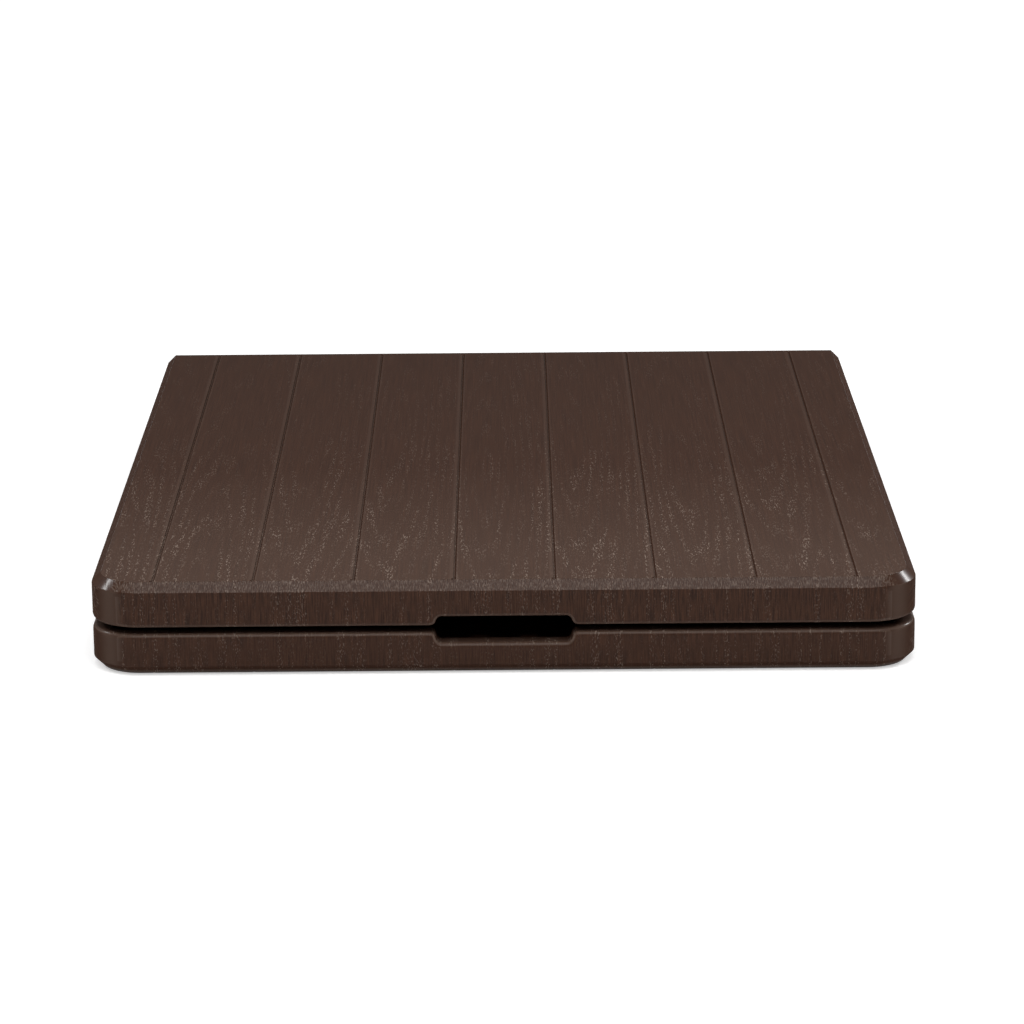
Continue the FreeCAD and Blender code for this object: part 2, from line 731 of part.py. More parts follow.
# Moulded U clip that the folded leg lies in
def make_leg_clip(label, leg):
    body = new_body(label)
    gap = "tube_radius + face_clearance + stay_play"
    outer = f"{gap} + leg_clip_wall"
    crest = "pivot_height + leg_clip_grip"
    section = new_sketch(body, "section", "XZ_Plane", "-(leg_clip_place - leg_clip_length / 2)")
    add_polygon(section, [
        (f"{leg} - ({outer})", "panel_thickness"),
        (f"{leg} + {outer}", "panel_thickness"),
        (f"{leg} + {outer}", crest),
        (f"{leg} + {gap}", crest),
        (f"{leg} + {gap}", "leg_clip_bed"),
        (f"{leg} - ({gap})", "leg_clip_bed"),
        (f"{leg} - ({gap})", crest),
        (f"{leg} - ({outer})", crest),
    ])
    pad(body, "u_block", section, "leg_clip_length", backwards=True)
    hole = new_sketch(body, "hole", "XY_Plane", "leg_clip_bed")
    add_circles(hole, [(leg, "leg_clip_place")], "screw_radius + running_clearance")
    pocket(body, "screw_hole", hole, "leg_clip_bed - panel_thickness")
    return body


# Hinge pin: a steel rivet through the ears of a lower and an upper rail
def make_hinge_pin(label):
    body = new_body(label)
    outer_face = "upper_rail_place + rail_thickness + face_clearance"
    shank = new_sketch(body, "shank", "YZ_Plane", "lower_rail_place")
    add_circles(shank, [("hinge_place", "hinge_height")], "hinge_pin_radius")
    pad(body, "shank_rod", shank, f"{outer_face} - lower_rail_place")
    inner_head = new_sketch(body, "inner_head", "YZ_Plane", "lower_rail_place")
    add_circles(inner_head, [("hinge_place", "hinge_height")], "hinge_head_radius")
    pad(body, "inner_head_disc", inner_head, "hinge_head_height", backwards=True)
    outer_head = new_sketch(body, "outer_head", "YZ_Plane", outer_face)
    add_circles(outer_head, [("hinge_place", "hinge_height")], "hinge_head_radius")
    pad(body, "outer_head_disc", outer_head, "hinge_head_height")
    ends = (value("lower_rail_place - hinge_head_height"), value(f"{outer_face} + hinge_head_height"))
    dress(body, "Fillet", "head_rounding", "hinge_head_height / 2",
          lambda edge: any(near(middle(edge).x, end) for end in ends))
    return body


# Spacer ring on the hinge pin, between the two ears
def make_hinge_spacer(label):
    body = new_body(label)
    ring = new_sketch(body, "ring", "YZ_Plane", "lower_rail_place + rail_thickness")
    add_circles(ring, [("hinge_place", "hinge_height")], "hinge_head_radius")
    add_circles(ring, [("hinge_place", "hinge_height")], "hinge_pin_radius + running_clearance")
    pad(body, "ring_block", ring,
        "upper_rail_place - lower_rail_place - rail_thickness - face_clearance")
    return body


# Rubber bumpers on the lower rim, which carry the closed upper rim
def make_bumpers(label):
    body = new_body(label)
    body.AllowCompound = True
    discs = new_sketch(body, "discs", "XY_Plane", "lower_depth")
    add_circles(discs, both_sides([
        ("half_width - rim_width / 2", "bumper_place"),
        ("half_width - rim_width / 2", "(front + back) / 2"),
    ]), "bumper_radius")
    pad(body, "disc", discs, "folded_height - lower_depth - upper_depth - face_clearance")
    return body


pieces = []


def keep(source, label, upper):
    """Take a piece into the table: as drawn for the lower half, mirrored for the upper one."""
    pieces.append(mirror(source, label, UPRIGHT, "hinge_height") if upper else source)


def make_half(half, upper):
    rail, leg, stay = f"{half}_rail_place", f"{half}_leg_place", f"{half}_stay_place"
    places = screw_places(rail, stay, leg)
    drawn = "upper_half_" if upper else ""
    every_screw = both_sides([place for group in places.values() for place in group])
    tabletop = make_tabletop(drawn + f"{half}_tabletop", f"{half}_depth", f"{half}_grip_depth", every_screw)
    keep(tabletop, f"{half}_tabletop", upper)
    seats = {
        "rail": "panel_thickness + rail_thickness",
        "bracket": "panel_thickness + bracket_base",
        "clip": "leg_clip_bed",
    }
    for group, seat in seats.items():
        label = f"{half}_{group}_screws"
        keep(make_screws(drawn + label, both_sides(places[group]), seat), label, upper)
    single = {"crossbar": make_crossbar(drawn + f"{half}_crossbar", leg),
              "stay": make_stay(drawn + f"{half}_stay", stay)}
    for name, source in single.items():
        keep(source, f"{half}_{name}", upper)
    paired = {
        "rail": lambda label: make_rail(label, rail, places["rail"]),
        "bushing": lambda label: make_bushing(label, rail),
        "leg": lambda label: make_leg(label, leg, rail),
        "foot": lambda label: make_foot(label, leg),
        "stay_bracket": lambda label: make_stay_bracket(label, stay, places["bracket"]),
        "stay_clip": make_stay_clip,
        "leg_clip": lambda label: make_leg_clip(label, leg),
    }
    for name, make in paired.items():
        right = make(drawn + f"{half}_{name}_right")
        keep(right, f"{half}_{name}_right", upper)
        left = mirror(right, drawn + f"{half}_{name}_left", ACROSS)
        keep(left, f"{half}_{name}_left", upper)


make_half("lower", False)
make_half("upper", True)
for name, make in (("hinge_pin", make_hinge_pin), ("hinge_spacer", make_hinge_spacer)):
    right_piece = make(f"{name}_right")
    pieces.append(right_piece)
    pieces.append(mirror(right_piece, f"{name}_left", ACROSS))
pieces.append(make_bumpers("rim_bumpers"))

doc.recompute()
for item in doc.Objects:
    if "Invalid" in item.State or "Error" in item.State:
        raise RuntimeError(f"{item.Label} failed: {item.State}")
for piece in pieces:
    if piece.Shape.isNull() or not piece.Shape.isValid():
        raise RuntimeError(f"{piece.Label} has no valid shape")
os.makedirs("parts", exist_ok=True)
for piece in pieces:
    piece.Shape.exportStep(f"parts/{piece.Label}.step")
    print(piece.Label, len(piece.Shape.Solids), round(piece.Shape.Volume))
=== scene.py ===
import math
import bpy
from mathutils import Matrix, Vector


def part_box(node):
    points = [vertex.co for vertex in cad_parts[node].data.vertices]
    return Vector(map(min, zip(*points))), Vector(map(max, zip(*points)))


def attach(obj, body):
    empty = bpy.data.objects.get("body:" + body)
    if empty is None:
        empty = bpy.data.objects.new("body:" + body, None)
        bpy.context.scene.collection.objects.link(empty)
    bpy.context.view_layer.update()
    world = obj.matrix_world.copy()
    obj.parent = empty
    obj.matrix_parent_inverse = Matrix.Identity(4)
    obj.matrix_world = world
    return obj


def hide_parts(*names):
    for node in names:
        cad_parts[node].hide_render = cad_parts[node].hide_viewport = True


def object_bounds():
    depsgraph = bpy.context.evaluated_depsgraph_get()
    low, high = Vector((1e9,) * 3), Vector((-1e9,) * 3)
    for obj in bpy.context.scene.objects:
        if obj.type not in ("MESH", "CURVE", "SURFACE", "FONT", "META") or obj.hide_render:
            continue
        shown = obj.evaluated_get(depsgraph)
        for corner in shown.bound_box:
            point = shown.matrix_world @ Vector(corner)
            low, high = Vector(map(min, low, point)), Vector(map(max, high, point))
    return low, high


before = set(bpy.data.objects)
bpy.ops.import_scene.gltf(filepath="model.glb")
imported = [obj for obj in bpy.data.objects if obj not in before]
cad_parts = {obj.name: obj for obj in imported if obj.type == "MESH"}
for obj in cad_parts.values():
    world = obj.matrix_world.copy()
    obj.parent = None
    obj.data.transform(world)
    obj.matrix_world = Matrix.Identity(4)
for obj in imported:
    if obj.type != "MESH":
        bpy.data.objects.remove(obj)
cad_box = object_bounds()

# The two table halves
# Each is one blow-moulded HDPE board with a deep rim, coloured brown all through.
# The mould is etched, so the outside has the grain of planks and the inside a fine pebble.
board_low, board_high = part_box("lower_tabletop")
HALF_WIDTH = board_high[0]
BOARD_LENGTH = board_high[1] - board_low[1]
BOARD_MIDDLE = (board_low[1] + board_high[1]) / 2
MID_HEIGHT = (cad_box[0][2] + cad_box[1][2]) / 2
CORNER_RADIUS = 0.045
PLANK_PITCH = 0.0895
HDPE_DEEP = "#2E1C14"
HDPE_PALE = "#4B3124"
# The pale grey-brown of the painted glints, sheen, highlights and reflection on the board.
HDPE_PAINTED_GLEAM = "#857469"


def linear(code):
    """An sRGB hex colour as the linear colour that a shader reads."""
    shares = [int(code[i:i + 2], 16) / 255 for i in (1, 3, 5)]
    return [s / 12.92 if s <= 0.04045 else ((s + 0.055) / 1.055) ** 2.4 for s in shares] + [1.0]


def add_node(tree, kind, inputs, **settings):
    """Add a node with its settings; each input gets a value, or a link from a node or one of its sockets."""
    node = tree.nodes.new(kind)
    for name, setting in settings.items():
        setattr(node, name, setting)
    for key, source in inputs.items():
        if isinstance(source, bpy.types.Node):
            source = source.outputs[0]
        if isinstance(source, bpy.types.NodeSocket):
            tree.links.new(source, node.inputs[key])
        else:
            node.inputs[key].default_value = source
    return node


def new_finish(name, shader_values):
    """A material with an empty tree but for its shader, whose plain values are set on its own sockets."""
    material = bpy.data.materials.new(name)
    material.use_nodes = True
    tree = material.node_tree
    tree.nodes.clear()
    shader = add_node(tree, "ShaderNodeBsdfPrincipled", shader_values)
    add_node(tree, "ShaderNodeOutputMaterial", {"Surface": shader.outputs["BSDF"]})
    return material, tree, shader


# Satin HDPE, dark brown: the etched grain breaks the gloss, and pale flecks on its ridges are painted
# glints.
hdpe, tree, shader = new_finish("moulded_hdpe_brown", {"IOR": 1.5, "Specular IOR Level": 0.12})
place = add_node(tree, "ShaderNodeTexCoord", {})
spot = add_node(tree, "ShaderNodeSeparateXYZ", {"Vector": place.outputs["Object"]})
facing = add_node(tree, "ShaderNodeSeparateXYZ", {"Vector": place.outputs["Normal"]})

# Each plank has growth rings of its own, 8 mm apart and drawn out along the plank. The boards of the upper
# half are numbered on from a higher number, so that no two planks are alike.
UPPER_BOARDS_FROM = 31.0
RING_CENTRE = 0.6
RING_SCATTER = (0.03, 1.2, 0.0)
RING_GAP = 0.008
RING_DRAWN_OUT = 14
RING_WANDER = 6.0
WAVE_LENGTH = math.tau / 20
plank = add_node(tree, "ShaderNodeMath", {0: spot.outputs["X"], 1: PLANK_PITCH}, operation="DIVIDE")
plank = add_node(tree, "ShaderNodeMath", {0: plank}, operation="ROUND")
rise = add_node(tree, "ShaderNodeMath", {0: spot.outputs["Z"], 1: MID_HEIGHT}, operation="SUBTRACT")
above = add_node(tree, "ShaderNodeMath", {0: rise, 1: 0.0}, operation="GREATER_THAN")
board = add_node(tree, "ShaderNodeMath", {0: above, 1: UPPER_BOARDS_FROM, 2: plank},
                 operation="MULTIPLY_ADD")
chance = add_node(tree, "ShaderNodeTexWhiteNoise", {"W": board}, noise_dimensions="1D")
heart = add_node(tree, "ShaderNodeMath", {0: plank, 1: PLANK_PITCH}, operation="MULTIPLY")
heart = add_node(tree, "ShaderNodeCombineXYZ", {"X": heart, "Y": RING_CENTRE})
shifted = add_node(tree, "ShaderNodeVectorMath", {0: place.outputs["Object"], 1: heart},
                   operation="SUBTRACT")
shifted = add_node(tree, "ShaderNodeVectorMath", {0: chance.outputs["Color"], 1: RING_SCATTER,
                                                  2: shifted}, operation="MULTIPLY_ADD")
rings_at = add_node(tree, "ShaderNodeMapping", {"Vector": shifted, "Scale": (1, 1 / RING_DRAWN_OUT, 0)})
rings = add_node(tree, "ShaderNodeTexWave", {"Vector": rings_at, "Scale": WAVE_LENGTH / RING_GAP,
                                             "Distortion": RING_WANDER, "Detail": 4.0,
                                             "Detail Scale": 2.2}, wave_type="RINGS", rings_direction="Z")
ring_line = add_node(tree, "ShaderNodeMapRange", {"Value": rings.outputs["Fac"], "From Min": 0.4,
                                                  "From Max": 0.9, "To Min": 0.15})

# The fibres run along the planks, down the front and along the sides, and fade out where the corners turn.
TURN_START = 0.3
TURN_END = 0.9
FULL_BEND = 0.1
NOISE_MIDDLE = 0.5
FIBRE = (1 / 0.0009, 1 / 0.09, 1 / 0.02)
PORE = (1 / 0.0011, 1 / 0.005, 1 / 0.0022)
side = add_node(tree, "ShaderNodeMath", {0: spot.outputs["X"]}, operation="SIGN")
inset = add_node(tree, "ShaderNodeMath", {0: side, 1: -HALF_WIDTH, 2: spot.outputs["X"]},
                 operation="MULTIPLY_ADD")
lean = add_node(tree, "ShaderNodeMath", {0: facing.outputs["X"]}, operation="ABSOLUTE")
sideways = add_node(tree, "ShaderNodeMapRange", {"Value": lean, "From Min": TURN_START,
                                                 "From Max": TURN_END}, interpolation_type="SMOOTHSTEP")
down = add_node(tree, "ShaderNodeMath", {0: rise, 1: sideways}, operation="MULTIPLY")
over = add_node(tree, "ShaderNodeMath", {0: down, 1: side}, operation="MULTIPLY")
across = add_node(tree, "ShaderNodeMath", {0: inset, 1: over}, operation="SUBTRACT")
upright = add_node(tree, "ShaderNodeMath", {0: rise, 1: down}, operation="SUBTRACT")
unrolled = add_node(tree, "ShaderNodeCombineXYZ", {"X": across, "Y": spot.outputs["Y"], "Z": upright})
fibre_at = add_node(tree, "ShaderNodeMapping", {"Vector": unrolled, "Scale": FIBRE})
fibre = add_node(tree, "ShaderNodeTexNoise", {"Vector": fibre_at, "Scale": 1.0, "Detail": 2.0})
straight = add_node(tree, "ShaderNodeMath", {0: 1.0, 1: sideways}, operation="SUBTRACT")
bend = add_node(tree, "ShaderNodeMath", {0: sideways, 1: straight}, operation="MULTIPLY")
turning = add_node(tree, "ShaderNodeMapRange", {"Value": bend, "From Max": FULL_BEND})
fibre = add_node(tree, "ShaderNodeMix", {"Factor": turning, "A": fibre.outputs["Fac"], "B": NOISE_MIDDLE})
pore_at = add_node(tree, "ShaderNodeMapping", {"Vector": unrolled, "Scale": PORE})
pore = add_node(tree, "ShaderNodeTexNoise", {"Vector": pore_at, "Scale": 1.0, "Detail": 1.0})
fleck = add_node(tree, "ShaderNodeMapRange", {"Value": pore.outputs["Fac"], "From Min": 0.56,
                                              "From Max": 0.68})

# Flecks gather along the ring lines in some stretches of a plank.
STRETCH = (1 / 0.024, 1 / 0.16, 1 / 0.16)
stretch_at = add_node(tree, "ShaderNodeMapping", {"Vector": unrolled, "Scale": STRETCH})
stretch = add_node(tree, "ShaderNodeTexNoise", {"Vector": stretch_at, "Scale": 1.0, "Detail": 1.0})
stretch = add_node(tree, "ShaderNodeMapRange", {"Value": stretch.outputs["Fac"], "From Min": 0.42,
                                                "From Max": 0.6, "To Min": 0.25})
lined = add_node(tree, "ShaderNodeMath", {0: stretch, 1: ring_line}, operation="MULTIPLY")
fleck = add_node(tree, "ShaderNodeMath", {0: fleck, 1: lined}, operation="MULTIPLY")

# The bevels round the table surface and the rounded rims lie in the outermost 10 mm. The grain crosses the
# bevel of the upper half; that of the lower half is worn smooth by the ground. A face's lean and slant are
# read from its direction, and its level from the middle of the folded table.
EDGE_ZONE = 0.01
BEVEL_GRAIN = (1 / 0.0008, 1 / 0.004, 1 / 0.004)
FACE_HALFWAY = 0.7071
SLANT_START = 0.26
SLANT_FULL = 0.12
SIDE_LEAN = 0.7
FRONT_LEAN = 0.55
LIP_DEPTH = 0.005
BEVEL_LEVEL = 0.03
CORNER_X = HALF_WIDTH - CORNER_RADIUS
CORNER_Y = BOARD_LENGTH / 2 - CORNER_RADIUS
FRONT_Y = BOARD_MIDDLE - BOARD_LENGTH / 2
slope = add_node(tree, "ShaderNodeMath", {0: facing.outputs["Z"]}, operation="ABSOLUTE")
tilt = add_node(tree, "ShaderNodeMath", {0: slope, 1: FACE_HALFWAY}, operation="SUBTRACT")
tilt = add_node(tree, "ShaderNodeMath", {0: tilt}, operation="ABSOLUTE")
wide = add_node(tree, "ShaderNodeMath", {0: spot.outputs["X"]}, operation="ABSOLUTE")
past_x = add_node(tree, "ShaderNodeMath", {0: wide, 1: CORNER_X}, operation="SUBTRACT")
past_y = add_node(tree, "ShaderNodeMath", {0: spot.outputs["Y"], 1: -1.0, 2: BOARD_MIDDLE - CORNER_Y},
                  operation="MULTIPLY_ADD")
past = add_node(tree, "ShaderNodeCombineXYZ", {"X": past_x, "Y": past_y})
past = add_node(tree, "ShaderNodeVectorMath", {0: past, 1: (0.0, 0.0, 0.0)}, operation="MAXIMUM")
past = add_node(tree, "ShaderNodeVectorMath", {0: past}, operation="LENGTH")
outer = add_node(tree, "ShaderNodeMath", {0: past.outputs["Value"], 1: CORNER_RADIUS - EDGE_ZONE},
                 operation="GREATER_THAN")
tilted = add_node(tree, "ShaderNodeMapRange", {"Value": tilt, "From Min": SLANT_START,
                                               "From Max": SLANT_FULL}, interpolation_type="SMOOTHSTEP")
tilted = add_node(tree, "ShaderNodeMath", {0: tilted, 1: outer}, operation="MULTIPLY")
fronting = add_node(tree, "ShaderNodeMapRange", {"Value": lean, "From Min": SIDE_LEAN,
                                                 "From Max": FRONT_LEAN})
turn = add_node(tree, "ShaderNodeMath", {0: facing.outputs["Y"], 1: FACE_HALFWAY}, operation="ADD")
turn = add_node(tree, "ShaderNodeMath", {0: turn}, operation="ABSOLUTE")
lip = add_node(tree, "ShaderNodeMapRange", {"Value": turn, "From Min": SLANT_START,
                                            "From Max": SLANT_FULL}, interpolation_type="SMOOTHSTEP")
front = add_node(tree, "ShaderNodeMath", {0: spot.outputs["Y"], 1: FRONT_Y + LIP_DEPTH},
                 operation="LESS_THAN")
lip = add_node(tree, "ShaderNodeMath", {0: lip, 1: front}, operation="MULTIPLY")
level = add_node(tree, "ShaderNodeMath", {0: rise}, operation="ABSOLUTE")
near_rim = add_node(tree, "ShaderNodeMath", {0: level, 1: BEVEL_LEVEL}, operation="LESS_THAN")
lip = add_node(tree, "ShaderNodeMath", {0: lip, 1: near_rim}, operation="MULTIPLY")
bevel = add_node(tree, "ShaderNodeMath", {0: level, 1: BEVEL_LEVEL}, operation="GREATER_THAN")
bevel = add_node(tree, "ShaderNodeMath", {0: tilted, 1: bevel}, operation="MULTIPLY")
grain_at = add_node(tree, "ShaderNodeMapping", {"Vector": unrolled, "Scale": BEVEL_GRAIN})
grain = add_node(tree, "ShaderNodeTexNoise", {"Vector": grain_at, "Scale": 1.0, "Detail": 2.0})
grain = add_node(tree, "ShaderNodeMapRange", {"Value": grain.outputs["Fac"], "From Min": 0.46,
                                              "From Max": 0.7, "To Max": 0.6})
grain = add_node(tree, "ShaderNodeMath", {0: grain, 1: bevel}, operation="MULTIPLY")
grain = add_node(tree, "ShaderNodeMath", {0: grain, 1: above}, operation="MULTIPLY")
fleck = add_node(tree, "ShaderNodeMath", {0: fleck, 1: grain}, operation="MAXIMUM")
steady = add_node(tree, "ShaderNodeMath", {0: 1.0, 1: turning}, operation="SUBTRACT")
fleck = add_node(tree, "ShaderNodeMath", {0: fleck, 1: steady}, operation="MULTIPLY")

# The hollow inside has a pebble of 2 mm in place of the grain.
HOLLOW_HALF_WIDTH = 0.3525
HOLLOW_HALF_LENGTH = 0.4325
HOLLOW_REACH = 0.0363
PEBBLE = 0.002
FIBRE_RELIEF = 0.5
RING_RELIEF = 0.25
ETCH_DEPTH = 0.00016
within = add_node(tree, "ShaderNodeMath", {0: wide, 1: HOLLOW_HALF_WIDTH}, operation="LESS_THAN")
along = add_node(tree, "ShaderNodeMath", {0: spot.outputs["Y"], 1: BOARD_MIDDLE, 2: HOLLOW_HALF_LENGTH},
                 operation="COMPARE")
deep = add_node(tree, "ShaderNodeMath", {0: spot.outputs["Z"], 1: MID_HEIGHT, 2: HOLLOW_REACH},
                operation="COMPARE")
within = add_node(tree, "ShaderNodeMath", {0: within, 1: along}, operation="MULTIPLY")
within = add_node(tree, "ShaderNodeMath", {0: within, 1: deep}, operation="MULTIPLY")
pebble = add_node(tree, "ShaderNodeTexVoronoi", {"Vector": place.outputs["Object"], "Scale": 1 / PEBBLE},
                  feature="SMOOTH_F1")
relief = add_node(tree, "ShaderNodeMath", {0: fibre, 1: FIBRE_RELIEF, 2: fleck}, operation="MULTIPLY_ADD")
relief = add_node(tree, "ShaderNodeMath", {0: ring_line, 1: RING_RELIEF, 2: relief},
                  operation="MULTIPLY_ADD")
relief = add_node(tree, "ShaderNodeMix", {"Factor": within, "A": relief, "B": pebble.outputs["Distance"]})
bump = add_node(tree, "ShaderNodeBump", {"Height": relief, "Strength": 1.0, "Distance": ETCH_DEPTH})
tree.links.new(bump.outputs["Normal"], shader.inputs["Normal"])

# The fibres are darker and paler streaks too, on the upright faces most, and of the upper half above all.
STREAK_LOW = 0.28
STREAK_HIGH = 0.72
UPPER_CONTRAST = 0.08
faint = add_node(tree, "ShaderNodeMath", {0: above, 1: UPPER_CONTRAST, 2: STREAK_LOW},
                 operation="MULTIPLY_ADD")
strong = add_node(tree, "ShaderNodeMath", {0: above, 1: -UPPER_CONTRAST, 2: STREAK_HIGH},
                  operation="MULTIPLY_ADD")
streak = add_node(tree, "ShaderNodeMapRange", {"Value": fibre, "From Min": faint, "From Max": strong})
streak = add_node(tree, "ShaderNodeMix", {"Factor": slope, "A": streak, "B": fibre})
streak = add_node(tree, "ShaderNodeMix", {"Factor": within, "A": streak, "B": pebble.outputs["Distance"]})
tone = add_node(tree, "ShaderNodeMix", {"Factor": streak, "A": linear(HDPE_DEEP), "B": linear(HDPE_PALE)},
                data_type="RGBA")

# Painted light: the pale flecks on the ridges are painted glints, most on flat faces and towards the grip.
# Near the grip the whole table surface gets a painted sheen; the planks' shoulders and the rims get painted
# highlights, the corners a painted sheen and the lowest edge a painted reflection of the floor.
GLINT_START = 0.1
GLINT_END = -0.4
FRONT_SHEEN_START = -0.05
FRONT_SHEEN_END = -0.37
FRONT_SHEEN = 0.11
SHOULDER_START = 0.0405
SHOULDER_END = 0.042
SHOULDER_HIGHLIGHT = 0.07
FLAT_FACE = 0.9
RIM_HIGHLIGHT = 0.24
LOW_EDGE_START = -0.0375
LOW_EDGE_END = -0.0405
LOW_EDGE_REFLECTION = 0.34
UPRIGHT_FACE = 0.6
CORNER_SHEEN = 0.8
# Painted glints: pale flecks, stronger on flat faces and towards the grip.
glint_on_flat = add_node(tree, "ShaderNodeMapRange", {"Value": slope, "From Min": 0.2, "From Max": 0.9,
                                                "To Min": 0.5})
glint_towards_grip = add_node(tree, "ShaderNodeMapRange", {"Value": spot.outputs["Y"], "From Min": GLINT_START,
                                                "From Max": GLINT_END, "To Min": 0.2, "To Max": 0.95})
painted_gleam = add_node(tree, "ShaderNodeMath", {0: glint_on_flat, 1: glint_towards_grip}, operation="MULTIPLY")
painted_gleam = add_node(tree, "ShaderNodeMath", {0: painted_gleam, 1: fleck}, operation="MULTIPLY")
# Painted sheen over the table surface near the grip.
painted_light = add_node(tree, "ShaderNodeMapRange", {"Value": spot.outputs["Y"], "From Min": FRONT_SHEEN_START,
                                              "From Max": FRONT_SHEEN_END, "To Max": FRONT_SHEEN})
# Painted highlight along the planks' shoulders beside the grooves.
off = add_node(tree, "ShaderNodeMath", {0: plank, 1: -PLANK_PITCH, 2: spot.outputs["X"]},
               operation="MULTIPLY_ADD")
off = add_node(tree, "ShaderNodeMath", {0: off}, operation="ABSOLUTE")
shoulder = add_node(tree, "ShaderNodeMapRange", {"Value": off, "From Min": SHOULDER_START,
                                                 "From Max": SHOULDER_END, "To Max": SHOULDER_HIGHLIGHT})
painted_light = add_node(tree, "ShaderNodeMath", {0: painted_light, 1: shoulder}, operation="ADD")
flat = add_node(tree, "ShaderNodeMath", {0: slope, 1: FLAT_FACE}, operation="GREATER_THAN")
painted_light = add_node(tree, "ShaderNodeMath", {0: painted_light, 1: flat}, operation="MULTIPLY")
# Painted highlight on the rounded rims and the hand hole's lip.
rim = add_node(tree, "ShaderNodeMath", {0: tilted, 1: bevel}, operation="SUBTRACT")
rim = add_node(tree, "ShaderNodeMath", {0: rim, 1: lip}, operation="MAXIMUM")
painted_light = add_node(tree, "ShaderNodeMath", {0: rim, 1: RIM_HIGHLIGHT, 2: painted_light}, operation="MULTIPLY_ADD")
# Painted reflection of the floor on the lowest edge of the lower bevel.
edge = add_node(tree, "ShaderNodeMapRange", {"Value": rise, "From Min": LOW_EDGE_START,
                                             "From Max": LOW_EDGE_END, "To Max": LOW_EDGE_REFLECTION})
edge = add_node(tree, "ShaderNodeMath", {0: edge, 1: bevel}, operation="MULTIPLY")
painted_light = add_node(tree, "ShaderNodeMath", {0: edge, 1: painted_light}, operation="ADD")
# Painted sheen on the upright rounded corners.
standing = add_node(tree, "ShaderNodeMath", {0: slope, 1: UPRIGHT_FACE}, operation="LESS_THAN")
corner = add_node(tree, "ShaderNodeMath", {0: bend, 1: standing}, operation="MULTIPLY")
painted_light = add_node(tree, "ShaderNodeMath", {0: corner, 1: CORNER_SHEEN, 2: painted_light}, operation="MULTIPLY_ADD")
# The painted glints and the other painted light are mixed into the brown, but not inside the hollow.
painted_gleam = add_node(tree, "ShaderNodeMath", {0: painted_gleam, 1: painted_light}, operation="ADD")
painted_gleam = add_node(tree, "ShaderNodeMix", {"Factor": within, "A": painted_gleam, "B": 0.0})
tone = add_node(tree, "ShaderNodeMix", {"Factor": painted_gleam, "A": tone.outputs["Result"],
                                        "B": linear(HDPE_PAINTED_GLEAM)}, data_type="RGBA")
tree.links.new(tone.outputs["Result"], shader.inputs["Base Color"])

# Bevels and rims that face up are worn smoother than the flat faces and shine more. The sides are rougher,
# and so is what faces down, but for the lowest edge.
SATIN_SMOOTH = 0.4
SATIN_ROUGH = 0.5
WORN_SHARE = 0.5
MATT_SHARE = 2.2
MATT_LEAN = 0.8
LOW_MATT = -0.0385
gloss = add_node(tree, "ShaderNodeMapRange", {"Value": fibre, "To Min": SATIN_SMOOTH,
                                              "To Max": SATIN_ROUGH})
lifted = add_node(tree, "ShaderNodeMath", {0: facing.outputs["Z"], 1: 0.0}, operation="GREATER_THAN")
worn = add_node(tree, "ShaderNodeMath", {0: tilted, 1: lip}, operation="MAXIMUM")
worn = add_node(tree, "ShaderNodeMath", {0: worn, 1: lifted}, operation="MULTIPLY")
worn = add_node(tree, "ShaderNodeMath", {0: worn, 1: fronting}, operation="MULTIPLY")
polish = add_node(tree, "ShaderNodeMapRange", {"Value": worn, "To Min": 1.0, "To Max": WORN_SHARE})
sunk = add_node(tree, "ShaderNodeMath", {0: tilted, 1: lifted}, operation="SUBTRACT")
clear = add_node(tree, "ShaderNodeMapRange", {"Value": rise, "From Min": LOW_EDGE_END,
                                              "From Max": LOW_MATT})
sunk = add_node(tree, "ShaderNodeMath", {0: sunk, 1: clear}, operation="MULTIPLY")
matt = add_node(tree, "ShaderNodeMapRange", {"Value": lean, "From Min": TURN_START,
                                             "From Max": MATT_LEAN})
matt = add_node(tree, "ShaderNodeMath", {0: matt, 1: sunk}, operation="MAXIMUM")
matt = add_node(tree, "ShaderNodeMath", {0: matt, 1: worn}, operation="SUBTRACT")
matt = add_node(tree, "ShaderNodeMapRange", {"Value": matt, "To Min": 1.0, "To Max": MATT_SHARE})
gloss = add_node(tree, "ShaderNodeMath", {0: gloss, 1: polish}, operation="MULTIPLY")
gloss = add_node(tree, "ShaderNodeMath", {0: gloss, 1: matt}, operation="MULTIPLY")
tree.links.new(gloss.outputs[0], shader.inputs["Roughness"])
for half in ("lower", "upper"):
    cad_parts[f"{half}_tabletop"].material_slots[0].material = hdpe

# The side rails
# Each half has two rails of pressed 2 mm steel sheet, screwed to the panel along its long edges.
# They are powder coated, which leaves a faint orange peel and takes the gleam off the black.
COAT_BLACK = "#1A1918"
COAT_DUSTY = "#2B2927"
COAT_PEEL = 0.0012
DUST_PATCH = 0.03
coat, tree, shader = new_finish("powder_coated_steel_black", {"IOR": 1.5, "Specular IOR Level": 0.4})
place = add_node(tree, "ShaderNodeTexCoord", {})
peel = add_node(tree, "ShaderNodeTexNoise", {"Vector": place.outputs["Object"], "Scale": 1 / COAT_PEEL,
                                             "Detail": 2.0})
bump = add_node(tree, "ShaderNodeBump", {"Height": peel.outputs["Fac"], "Strength": 0.6,
                                         "Distance": 0.00008})
tree.links.new(bump.outputs["Normal"], shader.inputs["Normal"])
dust = add_node(tree, "ShaderNodeTexNoise", {"Vector": place.outputs["Object"], "Scale": 1 / DUST_PATCH,
                                             "Detail": 5.0})
film = add_node(tree, "ShaderNodeMapRange", {"Value": dust.outputs["Fac"], "From Min": 0.35,
                                             "From Max": 0.75})
tone = add_node(tree, "ShaderNodeMix", {"Factor": film, "A": linear(COAT_BLACK), "B": linear(COAT_DUSTY)},
                data_type="RGBA")
tree.links.new(tone.outputs["Result"], shader.inputs["Base Color"])
